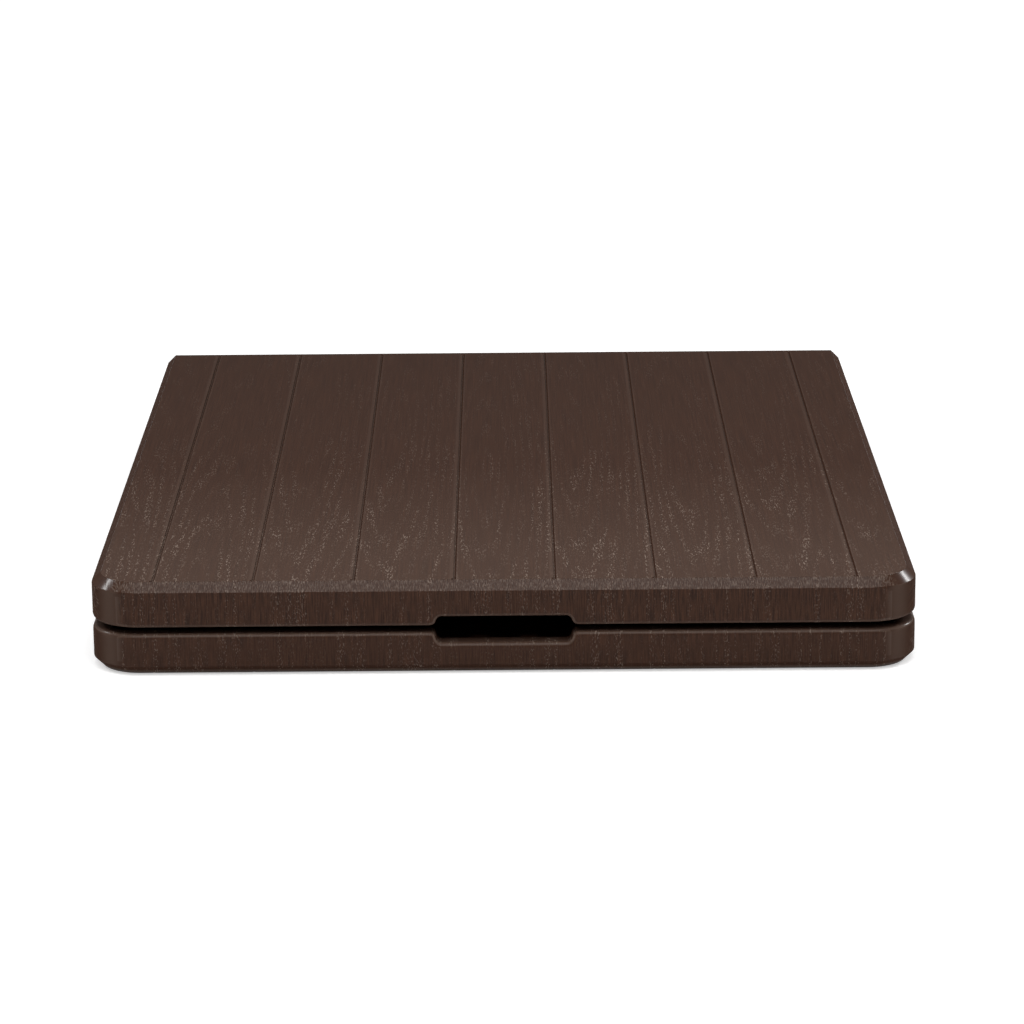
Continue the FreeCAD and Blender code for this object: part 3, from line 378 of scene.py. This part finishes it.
gloss = add_node(tree, "ShaderNodeMapRange", {"Value": dust.outputs["Fac"], "To Min": 0.38,
                                              "To Max": 0.6})
tree.links.new(gloss.outputs[0], shader.inputs["Roughness"])
for half in ("lower", "upper"):
    for side in ("left", "right"):
        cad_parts[f"{half}_rail_{side}"].material_slots[0].material = coat

# The hinge pins and spacers
# A riveted steel pin and a spacer ring at each side join the rails' end ears, so that the halves fold.
# They are turned from bar and zinc plated: pale, a little blue, with fine lathe lines round them.
ZINC_PALE = "#BFC3C7"
ZINC_DULL = "#8F9294"
SPANGLE = 0.006
LATHE_LINE = (1 / 0.0005, 1 / 0.012, 1 / 0.012)
zinc, tree, shader = new_finish("zinc_plated_steel", {"Metallic": 1.0})
place = add_node(tree, "ShaderNodeTexCoord", {})
spangle = add_node(tree, "ShaderNodeTexNoise", {"Vector": place.outputs["Object"], "Scale": 1 / SPANGLE,
                                                "Detail": 4.0})
tone = add_node(tree, "ShaderNodeMix", {"Factor": spangle.outputs["Fac"], "A": linear(ZINC_DULL),
                                        "B": linear(ZINC_PALE)}, data_type="RGBA")
tree.links.new(tone.outputs["Result"], shader.inputs["Base Color"])
gloss = add_node(tree, "ShaderNodeMapRange", {"Value": spangle.outputs["Fac"], "To Min": 0.46,
                                              "To Max": 0.26})
tree.links.new(gloss.outputs[0], shader.inputs["Roughness"])
lathe_at = add_node(tree, "ShaderNodeMapping", {"Vector": place.outputs["Object"], "Scale": LATHE_LINE})
lathe = add_node(tree, "ShaderNodeTexNoise", {"Vector": lathe_at, "Scale": 1.0, "Detail": 2.0})
bump = add_node(tree, "ShaderNodeBump", {"Height": lathe.outputs["Fac"], "Strength": 0.5,
                                         "Distance": 0.00004})
tree.links.new(bump.outputs["Normal"], shader.inputs["Normal"])
for side in ("left", "right"):
    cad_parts[f"hinge_pin_{side}"].material_slots[0].material = zinc
    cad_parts[f"hinge_spacer_{side}"].material_slots[0].material = zinc

# The leg bushings
# Flanged plastic rings in the rails' front ears, in which the leg tubes turn.
# They are moulded in black nylon, with the fine spark grain of a steel mould.
NYLON_BLACK = "#151515"
NYLON_WORN = "#242322"
SPARK_GRAIN = 0.0007
HANDLED_PATCH = 0.012
nylon, tree, shader = new_finish("moulded_nylon_black", {"IOR": 1.53, "Specular IOR Level": 0.4})
place = add_node(tree, "ShaderNodeTexCoord", {})
spark = add_node(tree, "ShaderNodeTexNoise", {"Vector": place.outputs["Object"], "Scale": 1 / SPARK_GRAIN,
                                              "Detail": 2.0})
bump = add_node(tree, "ShaderNodeBump", {"Height": spark.outputs["Fac"], "Strength": 0.7,
                                         "Distance": 0.00006})
tree.links.new(bump.outputs["Normal"], shader.inputs["Normal"])
handled = add_node(tree, "ShaderNodeTexNoise", {"Vector": place.outputs["Object"],
                                                "Scale": 1 / HANDLED_PATCH, "Detail": 3.0})
tone = add_node(tree, "ShaderNodeMix", {"Factor": handled.outputs["Fac"], "A": linear(NYLON_BLACK),
                                        "B": linear(NYLON_WORN)}, data_type="RGBA")
tree.links.new(tone.outputs["Result"], shader.inputs["Base Color"])
gloss = add_node(tree, "ShaderNodeMapRange", {"Value": handled.outputs["Fac"], "To Min": 0.4,
                                              "To Max": 0.62})
tree.links.new(gloss.outputs[0], shader.inputs["Roughness"])
for half in ("lower", "upper"):
    for side in ("left", "right"):
        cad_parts[f"{half}_bushing_{side}"].material_slots[0].material = nylon

# The leg frames
# Two bent steel tubes and a crossbar in each half, coated as the rails are.
# The crossbar is welded to the legs: a rippled bead runs round each of its ends, under the coat.
BAR_RADIUS = 0.007
TUBE_RADIUS = 0.010
BEAD_RADIUS = 0.0019
RIPPLES = 26
RIPPLE_SHARE = 0.09
LAP_POINTS = 156
BEAD_SIDES = 10
bead_tree = bpy.data.node_groups.new("weld_bead", "GeometryNodeTree")
bead_tree.interface.new_socket("Joints", in_out="INPUT", socket_type="NodeSocketGeometry")
for name in ("Bar Radius", "Tube Radius", "Bead Radius", "Ripples"):
    bead_tree.interface.new_socket(name, in_out="INPUT", socket_type="NodeSocketFloat")
bead_tree.interface.new_socket("Coat", in_out="INPUT", socket_type="NodeSocketMaterial")
bead_tree.interface.new_socket("Beads", in_out="OUTPUT", socket_type="NodeSocketGeometry")
given = add_node(bead_tree, "NodeGroupInput", {})
lap = add_node(bead_tree, "GeometryNodeCurvePrimitiveCircle", {"Resolution": LAP_POINTS,
                                                               "Radius": given.outputs["Bar Radius"]})
spot = add_node(bead_tree, "GeometryNodeInputPosition", {})
spot = add_node(bead_tree, "ShaderNodeSeparateXYZ", {"Vector": spot})
high = add_node(bead_tree, "ShaderNodeMath", {0: spot.outputs["Y"], 1: spot.outputs["Y"]},
                operation="MULTIPLY")
reach = add_node(bead_tree, "ShaderNodeMath", {0: given.outputs["Tube Radius"],
                                               1: given.outputs["Tube Radius"]}, operation="MULTIPLY")
reach = add_node(bead_tree, "ShaderNodeMath", {0: reach, 1: high}, operation="SUBTRACT")
reach = add_node(bead_tree, "ShaderNodeMath", {0: reach}, operation="SQRT")
saddle = add_node(bead_tree, "ShaderNodeCombineXYZ", {"X": reach, "Y": spot.outputs["X"],
                                                      "Z": spot.outputs["Y"]})
saddle = add_node(bead_tree, "GeometryNodeSetPosition", {"Geometry": lap.outputs["Curve"],
                                                         "Position": saddle})
station = add_node(bead_tree, "GeometryNodeSplineParameter", {})
swell = add_node(bead_tree, "ShaderNodeMath", {0: station.outputs["Factor"], 1: math.tau},
                 operation="MULTIPLY")
swell = add_node(bead_tree, "ShaderNodeMath", {0: swell, 1: given.outputs["Ripples"]},
                 operation="MULTIPLY")
swell = add_node(bead_tree, "ShaderNodeMath", {0: swell}, operation="SINE")
swell = add_node(bead_tree, "ShaderNodeMath", {0: swell, 1: RIPPLE_SHARE, 2: 1.0},
                 operation="MULTIPLY_ADD")
rippled = add_node(bead_tree, "GeometryNodeSetCurveRadius", {"Curve": saddle, "Radius": swell})
section = add_node(bead_tree, "GeometryNodeCurvePrimitiveCircle", {"Resolution": BEAD_SIDES,
                                                                   "Radius": given.outputs["Bead Radius"]})
bead = add_node(bead_tree, "GeometryNodeCurveToMesh", {"Curve": rippled,
                                                       "Profile Curve": section.outputs["Curve"],
                                                       "Scale": swell})
bead = add_node(bead_tree, "GeometryNodeSetShadeSmooth", {"Geometry": bead.outputs["Mesh"]})
inward = add_node(bead_tree, "GeometryNodeInputPosition", {})
inward = add_node(bead_tree, "ShaderNodeSeparateXYZ", {"Vector": inward})
inward = add_node(bead_tree, "ShaderNodeMath", {0: inward.outputs["X"], 1: 0.0}, operation="GREATER_THAN")
inward = add_node(bead_tree, "ShaderNodeMath", {0: inward, 1: math.pi}, operation="MULTIPLY")
turned = add_node(bead_tree, "ShaderNodeCombineXYZ", {"Z": inward})
beads = add_node(bead_tree, "GeometryNodeInstanceOnPoints", {"Points": given.outputs["Joints"],
                                                             "Instance": bead, "Rotation": turned})
beads = add_node(bead_tree, "GeometryNodeRealizeInstances", {"Geometry": beads})
beads = add_node(bead_tree, "GeometryNodeSetMaterial", {"Geometry": beads,
                                                        "Material": given.outputs["Coat"]})
add_node(bead_tree, "NodeGroupOutput", {"Beads": beads})


def grow(name, points, tree, **given):
    """Run a Geometry Nodes tree on loose points, with inputs set by name, and give a plain mesh object."""
    start = bpy.data.meshes.new(name)
    start.from_pydata(points, [], [])
    grower = bpy.data.objects.new(name + "_points", start)
    bpy.context.scene.collection.objects.link(grower)
    modifier = grower.modifiers.new("grow", "NODES")
    modifier.node_group = tree
    for socket in tree.interface.items_tree:
        if socket.in_out == "INPUT" and socket.name in given:
            modifier[socket.identifier] = given[socket.name]
    graph = bpy.context.evaluated_depsgraph_get()
    grown = bpy.data.meshes.new_from_object(grower.evaluated_get(graph))
    bpy.data.objects.remove(grower)
    for index in reversed([i for i, material in enumerate(grown.materials) if material is None]):
        grown.materials.pop(index=index)
    grown.name = name
    piece = bpy.data.objects.new(name, grown)
    bpy.context.scene.collection.objects.link(piece)
    return piece


for half in ("lower", "upper"):
    for side in ("left", "right"):
        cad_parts[f"{half}_leg_{side}"].material_slots[0].material = coat
    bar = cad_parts[f"{half}_crossbar"]
    bar.material_slots[0].material = coat
    low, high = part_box(f"{half}_crossbar")
    tube_low, tube_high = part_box(f"{half}_foot_right")
    tube_x = (tube_low[0] + tube_high[0]) / 2
    ends = [(x, (low[1] + high[1]) / 2, (low[2] + high[2]) / 2) for x in (-tube_x, tube_x)]
    bead_sizes = {"Bar Radius": BAR_RADIUS, "Tube Radius": TUBE_RADIUS, "Bead Radius": BEAD_RADIUS,
                  "Ripples": float(RIPPLES), "Coat": coat}
    piece = grow(f"{half}_weld_beads", ends, bead_tree, **bead_sizes)
    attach(piece, f"{half}_leg_frame")

# The foot caps
# A soft black plastic cap is pushed on the end of each leg tube.
# It is moulded with a thick sole, which stands on the ground and gets scuffed.
SOLE_BLACK = "#171717"
SOLE_SCUFFED = "#34322F"
SCUFF = (1 / 0.004, 1 / 0.0012, 1 / 0.004)
sole, tree, shader = new_finish("soft_polyethylene_black", {"IOR": 1.5, "Specular IOR Level": 0.3})
place = add_node(tree, "ShaderNodeTexCoord", {})
scuff_at = add_node(tree, "ShaderNodeMapping", {"Vector": place.outputs["Object"], "Scale": SCUFF})
scuff = add_node(tree, "ShaderNodeTexNoise", {"Vector": scuff_at, "Scale": 1.0, "Detail": 4.0})
worn = add_node(tree, "ShaderNodeMapRange", {"Value": scuff.outputs["Fac"], "From Min": 0.45,
                                             "From Max": 0.75})
tone = add_node(tree, "ShaderNodeMix", {"Factor": worn, "A": linear(SOLE_BLACK),
                                        "B": linear(SOLE_SCUFFED)}, data_type="RGBA")
tree.links.new(tone.outputs["Result"], shader.inputs["Base Color"])
gloss = add_node(tree, "ShaderNodeMapRange", {"Value": scuff.outputs["Fac"], "To Min": 0.48,
                                              "To Max": 0.75})
tree.links.new(gloss.outputs[0], shader.inputs["Roughness"])
bump = add_node(tree, "ShaderNodeBump", {"Height": scuff.outputs["Fac"], "Strength": 0.5,
                                         "Distance": 0.0001})
tree.links.new(bump.outputs["Normal"], shader.inputs["Normal"])
for half in ("lower", "upper"):
    for side in ("left", "right"):
        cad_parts[f"{half}_foot_{side}"].material_slots[0].material = sole

# The stays
# A bent 6 mm wire in each half turns in two screwed brackets and snaps into clips on the crossbar.
# The wire is zinc plated after bending; brackets and clips are black nylon.
for half in ("lower", "upper"):
    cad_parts[f"{half}_stay"].material_slots[0].material = zinc
    for side in ("left", "right"):
        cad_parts[f"{half}_stay_bracket_{side}"].material_slots[0].material = nylon
        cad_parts[f"{half}_stay_clip_{side}"].material_slots[0].material = nylon

# The leg clips
# Springy black nylon jaws, screwed to the panel, hold each leg tube when it is folded away.
for half in ("lower", "upper"):
    for side in ("left", "right"):
        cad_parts[f"{half}_leg_clip_{side}"].material_slots[0].material = nylon

# The screws
# Pan-head tapping screws, zinc plated, hold rails, brackets and clips to the moulded panels.
# Each has a pressed cross recess and stops at whatever angle its driver left it.
HEAD_RADIUS = 0.0042
HEAD_HEIGHT = 0.0022
SHANK_RADIUS = 0.002
SHANK_LENGTH = 0.007
RECESS_SPAN = 0.0046
RECESS_WIDTH = 0.0011
RECESS_DEPTH = 0.0013
HEAD_SIDES = 28
HEAD_RINGS = 14
HEAD_CROWN = 0.6
SHANK_SIDES = 16
WELD_GAP = 0.00001
SEAT_REACH = 2.2 * HEAD_RADIUS
screw_tree = bpy.data.node_groups.new("pan_head_screws", "GeometryNodeTree")
screw_tree.interface.new_socket("Seats", in_out="INPUT", socket_type="NodeSocketGeometry")
for name in ("Head Radius", "Head Height", "Shank Radius", "Shank Length", "Recess Span", "Recess Width",
             "Recess Depth", "Turned Over"):
    screw_tree.interface.new_socket(name, in_out="INPUT", socket_type="NodeSocketFloat")
screw_tree.interface.new_socket("Seed", in_out="INPUT", socket_type="NodeSocketInt")
screw_tree.interface.new_socket("Plating", in_out="INPUT", socket_type="NodeSocketMaterial")
screw_tree.interface.new_socket("Screws", in_out="OUTPUT", socket_type="NodeSocketGeometry")
given = add_node(screw_tree, "NodeGroupInput", {})
ball = add_node(screw_tree, "GeometryNodeMeshUVSphere", {"Segments": HEAD_SIDES, "Rings": HEAD_RINGS,
                                                         "Radius": 1.0})
spot = add_node(screw_tree, "GeometryNodeInputPosition", {})
spot = add_node(screw_tree, "ShaderNodeSeparateXYZ", {"Vector": spot})
crown = add_node(screw_tree, "ShaderNodeMath", {0: spot.outputs["Z"], 1: 0.0}, operation="MAXIMUM")
crown = add_node(screw_tree, "ShaderNodeMath", {0: crown, 1: HEAD_CROWN}, operation="POWER")
tall = add_node(screw_tree, "ShaderNodeMath", {0: crown, 1: given.outputs["Head Height"]},
                operation="MULTIPLY")
wide = add_node(screw_tree, "ShaderNodeMath", {0: spot.outputs["X"], 1: given.outputs["Head Radius"]},
                operation="MULTIPLY")
long = add_node(screw_tree, "ShaderNodeMath", {0: spot.outputs["Y"], 1: given.outputs["Head Radius"]},
                operation="MULTIPLY")
pan = add_node(screw_tree, "ShaderNodeCombineXYZ", {"X": wide, "Y": long, "Z": tall})
head = add_node(screw_tree, "GeometryNodeSetPosition", {"Geometry": ball.outputs["Mesh"],
                                                        "Position": pan})
head = add_node(screw_tree, "GeometryNodeMergeByDistance", {"Geometry": head, "Distance": WELD_GAP})
deep = add_node(screw_tree, "ShaderNodeMath", {0: given.outputs["Recess Depth"], 1: 2.0},
                operation="MULTIPLY")
lift = add_node(screw_tree, "ShaderNodeCombineXYZ", {"Z": given.outputs["Head Height"]})
cutters = []
for spans in (("Recess Span", "Recess Width"), ("Recess Width", "Recess Span")):
    size = add_node(screw_tree, "ShaderNodeCombineXYZ", {"X": given.outputs[spans[0]],
                                                         "Y": given.outputs[spans[1]], "Z": deep})
    blade = add_node(screw_tree, "GeometryNodeMeshCube", {"Size": size})
    cutters.append(add_node(screw_tree, "GeometryNodeTransform",
                            {"Geometry": blade.outputs["Mesh"], "Translation": lift}))
driven = add_node(screw_tree, "GeometryNodeMeshBoolean", {"Mesh 1": head}, operation="DIFFERENCE")
for cutter in cutters:
    screw_tree.links.new(cutter.outputs[0], driven.inputs["Mesh 2"])
shank = add_node(screw_tree, "GeometryNodeMeshCylinder", {"Vertices": SHANK_SIDES,
                                                          "Radius": given.outputs["Shank Radius"],
                                                          "Depth": given.outputs["Shank Length"]})
drop = add_node(screw_tree, "ShaderNodeMath", {0: given.outputs["Shank Length"], 1: -0.5},
                operation="MULTIPLY")
drop = add_node(screw_tree, "ShaderNodeCombineXYZ", {"Z": drop})
shank = add_node(screw_tree, "GeometryNodeTransform", {"Geometry": shank.outputs["Mesh"],
                                                       "Translation": drop})
screw = add_node(screw_tree, "GeometryNodeJoinGeometry", {})
screw_tree.links.new(shank.outputs[0], screw.inputs[0])
screw_tree.links.new(driven.outputs["Mesh"], screw.inputs[0])
spin = add_node(screw_tree, "FunctionNodeRandomValue", {2: 0.0, 3: math.tau,
                                                        "Seed": given.outputs["Seed"]})
stand = add_node(screw_tree, "ShaderNodeCombineXYZ", {"X": given.outputs["Turned Over"],
                                                      "Z": spin.outputs[1]})
screws = add_node(screw_tree, "GeometryNodeInstanceOnPoints", {"Points": given.outputs["Seats"],
                                                               "Instance": screw, "Rotation": stand})
screws = add_node(screw_tree, "GeometryNodeRealizeInstances", {"Geometry": screws})
screws = add_node(screw_tree, "GeometryNodeSetMaterial", {"Geometry": screws,
                                                          "Material": given.outputs["Plating"]})
add_node(screw_tree, "NodeGroupOutput", {"Screws": screws})


def screw_seats(node, turned_over):
    """The middle of each screw in a CAD node that holds several, at the height on which its head sits."""
    groups = []
    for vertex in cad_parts[node].data.vertices:
        near = [group for group in groups if (group[0].xy - vertex.co.xy).length < SEAT_REACH]
        if near:
            near[0].append(vertex.co)
        else:
            groups.append([vertex.co])
    seats = []
    for group in groups:
        x, y = ((min(p[axis] for p in group) + max(p[axis] for p in group)) / 2 for axis in (0, 1))
        heights = [p.z for p in group]
        seats.append((x, y, min(heights) + HEAD_HEIGHT if turned_over else max(heights) - HEAD_HEIGHT))
    return seats


screw_groups = [(half, group) for half in ("lower", "upper") for group in ("rail", "bracket", "clip")]
for seed, (half, group) in enumerate(screw_groups):
    node = f"{half}_{group}_screws"
    turned_over = half == "upper"
    screw_sizes = {"Head Radius": HEAD_RADIUS, "Head Height": HEAD_HEIGHT, "Shank Radius": SHANK_RADIUS,
                   "Shank Length": SHANK_LENGTH, "Recess Span": RECESS_SPAN, "Recess Width": RECESS_WIDTH,
                   "Recess Depth": RECESS_DEPTH, "Turned Over": math.pi if turned_over else 0.0,
                   "Seed": seed, "Plating": zinc}
    piece = grow(f"{node}_driven", screw_seats(node, turned_over), screw_tree, **screw_sizes)
    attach(piece, f"{half}_half")
    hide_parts(node)

# The rim bumpers
# Small rubber buttons on the lower rim keep the two halves apart when the table is folded.
RUBBER_BLACK = "#131313"
RUBBER_BLOOM = "#262626"
BLOOM_PATCH = 0.004
rubber, tree, shader = new_finish("matt_rubber_black", {"IOR": 1.5, "Specular IOR Level": 0.2})
place = add_node(tree, "ShaderNodeTexCoord", {})
bloom = add_node(tree, "ShaderNodeTexNoise", {"Vector": place.outputs["Object"], "Scale": 1 / BLOOM_PATCH,
                                              "Detail": 4.0})
tone = add_node(tree, "ShaderNodeMix", {"Factor": bloom.outputs["Fac"], "A": linear(RUBBER_BLACK),
                                        "B": linear(RUBBER_BLOOM)}, data_type="RGBA")
tree.links.new(tone.outputs["Result"], shader.inputs["Base Color"])
gloss = add_node(tree, "ShaderNodeMapRange", {"Value": bloom.outputs["Fac"], "To Min": 0.7,
                                              "To Max": 0.95})
tree.links.new(gloss.outputs[0], shader.inputs["Roughness"])
bump = add_node(tree, "ShaderNodeBump", {"Height": bloom.outputs["Fac"], "Strength": 0.4,
                                         "Distance": 0.0001})
tree.links.new(bump.outputs["Normal"], shader.inputs["Normal"])
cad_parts["rim_bumpers"].material_slots[0].material = rubber

# Floor, light and camera
# A sweep of white paper in a studio: it is pale, glows a little and keeps the table's soft shadow.
FLOOR_SPAN = 30.0
FLOOR_DROP = 0.0003
PAPER_WHITE = "#E4E4E4"
GLOW_NEAR = 0.6
GLOW_FAR = 6.0
floor_mesh = bpy.data.meshes.new("studio_floor")
floor_mesh.from_pydata([(x * FLOOR_SPAN, y * FLOOR_SPAN, -FLOOR_DROP)
                        for x, y in ((-1, -1), (1, -1), (1, 1), (-1, 1))], [], [(0, 1, 2, 3)])
floor = bpy.data.objects.new("studio_floor", floor_mesh)
bpy.context.scene.collection.objects.link(floor)
paper, tree, shader = new_finish("white_paper", {"Base Color": linear(PAPER_WHITE), "Roughness": 1.0,
                                                 "Specular IOR Level": 0.0,
                                                 "Emission Color": linear("#FFFFFF")})
place = add_node(tree, "ShaderNodeTexCoord", {})
away = add_node(tree, "ShaderNodeVectorMath", {0: place.outputs["Object"]}, operation="LENGTH")
glow = add_node(tree, "ShaderNodeMapRange", {"Value": away.outputs["Value"], "From Min": GLOW_NEAR,
                                             "From Max": GLOW_FAR, "To Min": 0.5, "To Max": 0.95})

# Its glow is turned down under the table: a painted shade for the shadow that the table throws there.
SHADE_START = CORNER_RADIUS - 0.013
SHADE_END = CORNER_RADIUS - 0.007
SHADE_GLOW = 0.3
past = add_node(tree, "ShaderNodeVectorMath", {0: place.outputs["Object"], 1: (0.0, BOARD_MIDDLE, 0.0)},
                operation="SUBTRACT")
past = add_node(tree, "ShaderNodeVectorMath", {0: past}, operation="ABSOLUTE")
past = add_node(tree, "ShaderNodeVectorMath", {0: past, 1: (CORNER_X, CORNER_Y, 0.0)},
                operation="SUBTRACT")
past = add_node(tree, "ShaderNodeVectorMath", {0: past, 1: (0.0, 0.0, 0.0)}, operation="MAXIMUM")
past = add_node(tree, "ShaderNodeVectorMath", {0: past, 1: (1.0, 1.0, 0.0)}, operation="MULTIPLY")
past = add_node(tree, "ShaderNodeVectorMath", {0: past}, operation="LENGTH")
clear = add_node(tree, "ShaderNodeMapRange", {"Value": past.outputs["Value"], "From Min": SHADE_START,
                                              "From Max": SHADE_END, "To Min": SHADE_GLOW})
glow = add_node(tree, "ShaderNodeMath", {0: glow, 1: clear}, operation="MULTIPLY")
ray = add_node(tree, "ShaderNodeLightPath", {})
seen = add_node(tree, "ShaderNodeMath", {0: ray.outputs["Is Camera Ray"],
                                         1: ray.outputs["Is Glossy Ray"]}, operation="MAXIMUM")
seen = add_node(tree, "ShaderNodeMath", {0: seen, 1: ray.outputs["Is Transmission Ray"]},
                operation="MAXIMUM")
lift = add_node(tree, "ShaderNodeMath", {0: seen, 1: glow}, operation="MULTIPLY")
tree.links.new(lift.outputs[0], shader.inputs["Emission Strength"])
floor_mesh.materials.append(paper)

# The air of the studio is dim at the sides and brighter overhead.
WORLD_LOW = 0.05
WORLD_HIGH = 0.5
world = bpy.data.worlds.new("studio_air")
bpy.context.scene.world = world
world.use_nodes = True
tree = world.node_tree
tree.nodes.clear()
place = add_node(tree, "ShaderNodeTexCoord", {})
spot = add_node(tree, "ShaderNodeSeparateXYZ", {"Vector": place.outputs["Generated"]})
dome = add_node(tree, "ShaderNodeMapRange", {"Value": spot.outputs["Z"], "From Min": 0.1, "From Max": 0.8,
                                             "To Min": WORLD_LOW, "To Max": WORLD_HIGH},
                interpolation_type="SMOOTHSTEP")
sky = add_node(tree, "ShaderNodeBackground", {"Color": linear("#FFFFFF"), "Strength": dome})
add_node(tree, "ShaderNodeOutputWorld", {"Surface": sky.outputs["Background"]})

# A wide softbox lights the table from over the front. Two small lamps give the front corners their gleam.
SOFTBOX_SIZE = (2.2, 1.4)
SOFTBOX_PLACE = Vector((0.05, -0.95, 1.85))
SOFTBOX_POWER = 26
KICKER_SIZE = (0.22, 0.22)
RIGHT_PLACE = Vector((2.0, 0.85, 1.15))
RIGHT_POWER = 17
LEFT_PLACE = Vector((-2.05, 0.3, 1.55))
LEFT_POWER = 11
LAMP_AIM = Vector((0, -0.3, 0.06))
lamps = (("softbox", SOFTBOX_SIZE, SOFTBOX_PLACE, SOFTBOX_POWER),
         ("right_kicker", KICKER_SIZE, RIGHT_PLACE, RIGHT_POWER),
         ("left_kicker", KICKER_SIZE, LEFT_PLACE, LEFT_POWER))
for name, size, spot, power in lamps:
    lamp = bpy.data.lights.new(name, "AREA")
    lamp.shape = "RECTANGLE"
    lamp.size, lamp.size_y = size
    lamp.energy = power
    lamp_object = bpy.data.objects.new(name, lamp)
    bpy.context.scene.collection.objects.link(lamp_object)
    lamp_object.location = spot
    lamp_object.visible_camera = False
    lamp_object.rotation_euler = (LAMP_AIM - spot).to_track_quat("-Z", "Y").to_euler()

# The camera stands in front, a little over the table, as far back as the lines of the photograph ask.
CAMERA_PLACE = (0.00708, -3.86237, 1.08189)
YAW, PITCH, ROLL = 0.000257, 0.267178, -0.0078195
FOCAL_PIXELS, IMAGE_PIXELS, SENSOR = 4003.78, 1024, 36.0
camera = bpy.data.cameras.new("camera")
camera.sensor_width = SENSOR
camera.lens = FOCAL_PIXELS / IMAGE_PIXELS * SENSOR
camera_object = bpy.data.objects.new("camera", camera)
bpy.context.scene.collection.objects.link(camera_object)
forward = Vector((math.sin(YAW) * math.cos(PITCH), math.cos(YAW) * math.cos(PITCH), -math.sin(PITCH)))
level_right = Vector((math.cos(YAW), -math.sin(YAW), 0))
level_up = level_right.cross(forward)
right = math.cos(ROLL) * level_right + math.sin(ROLL) * level_up
up = -math.sin(ROLL) * level_right + math.cos(ROLL) * level_up
turned = Matrix((right, up, -forward)).transposed().to_4x4()
camera_object.matrix_world = Matrix.Translation(CAMERA_PLACE) @ turned
bpy.context.scene.camera = camera_object
bpy.context.scene.view_settings.view_transform = "Standard"
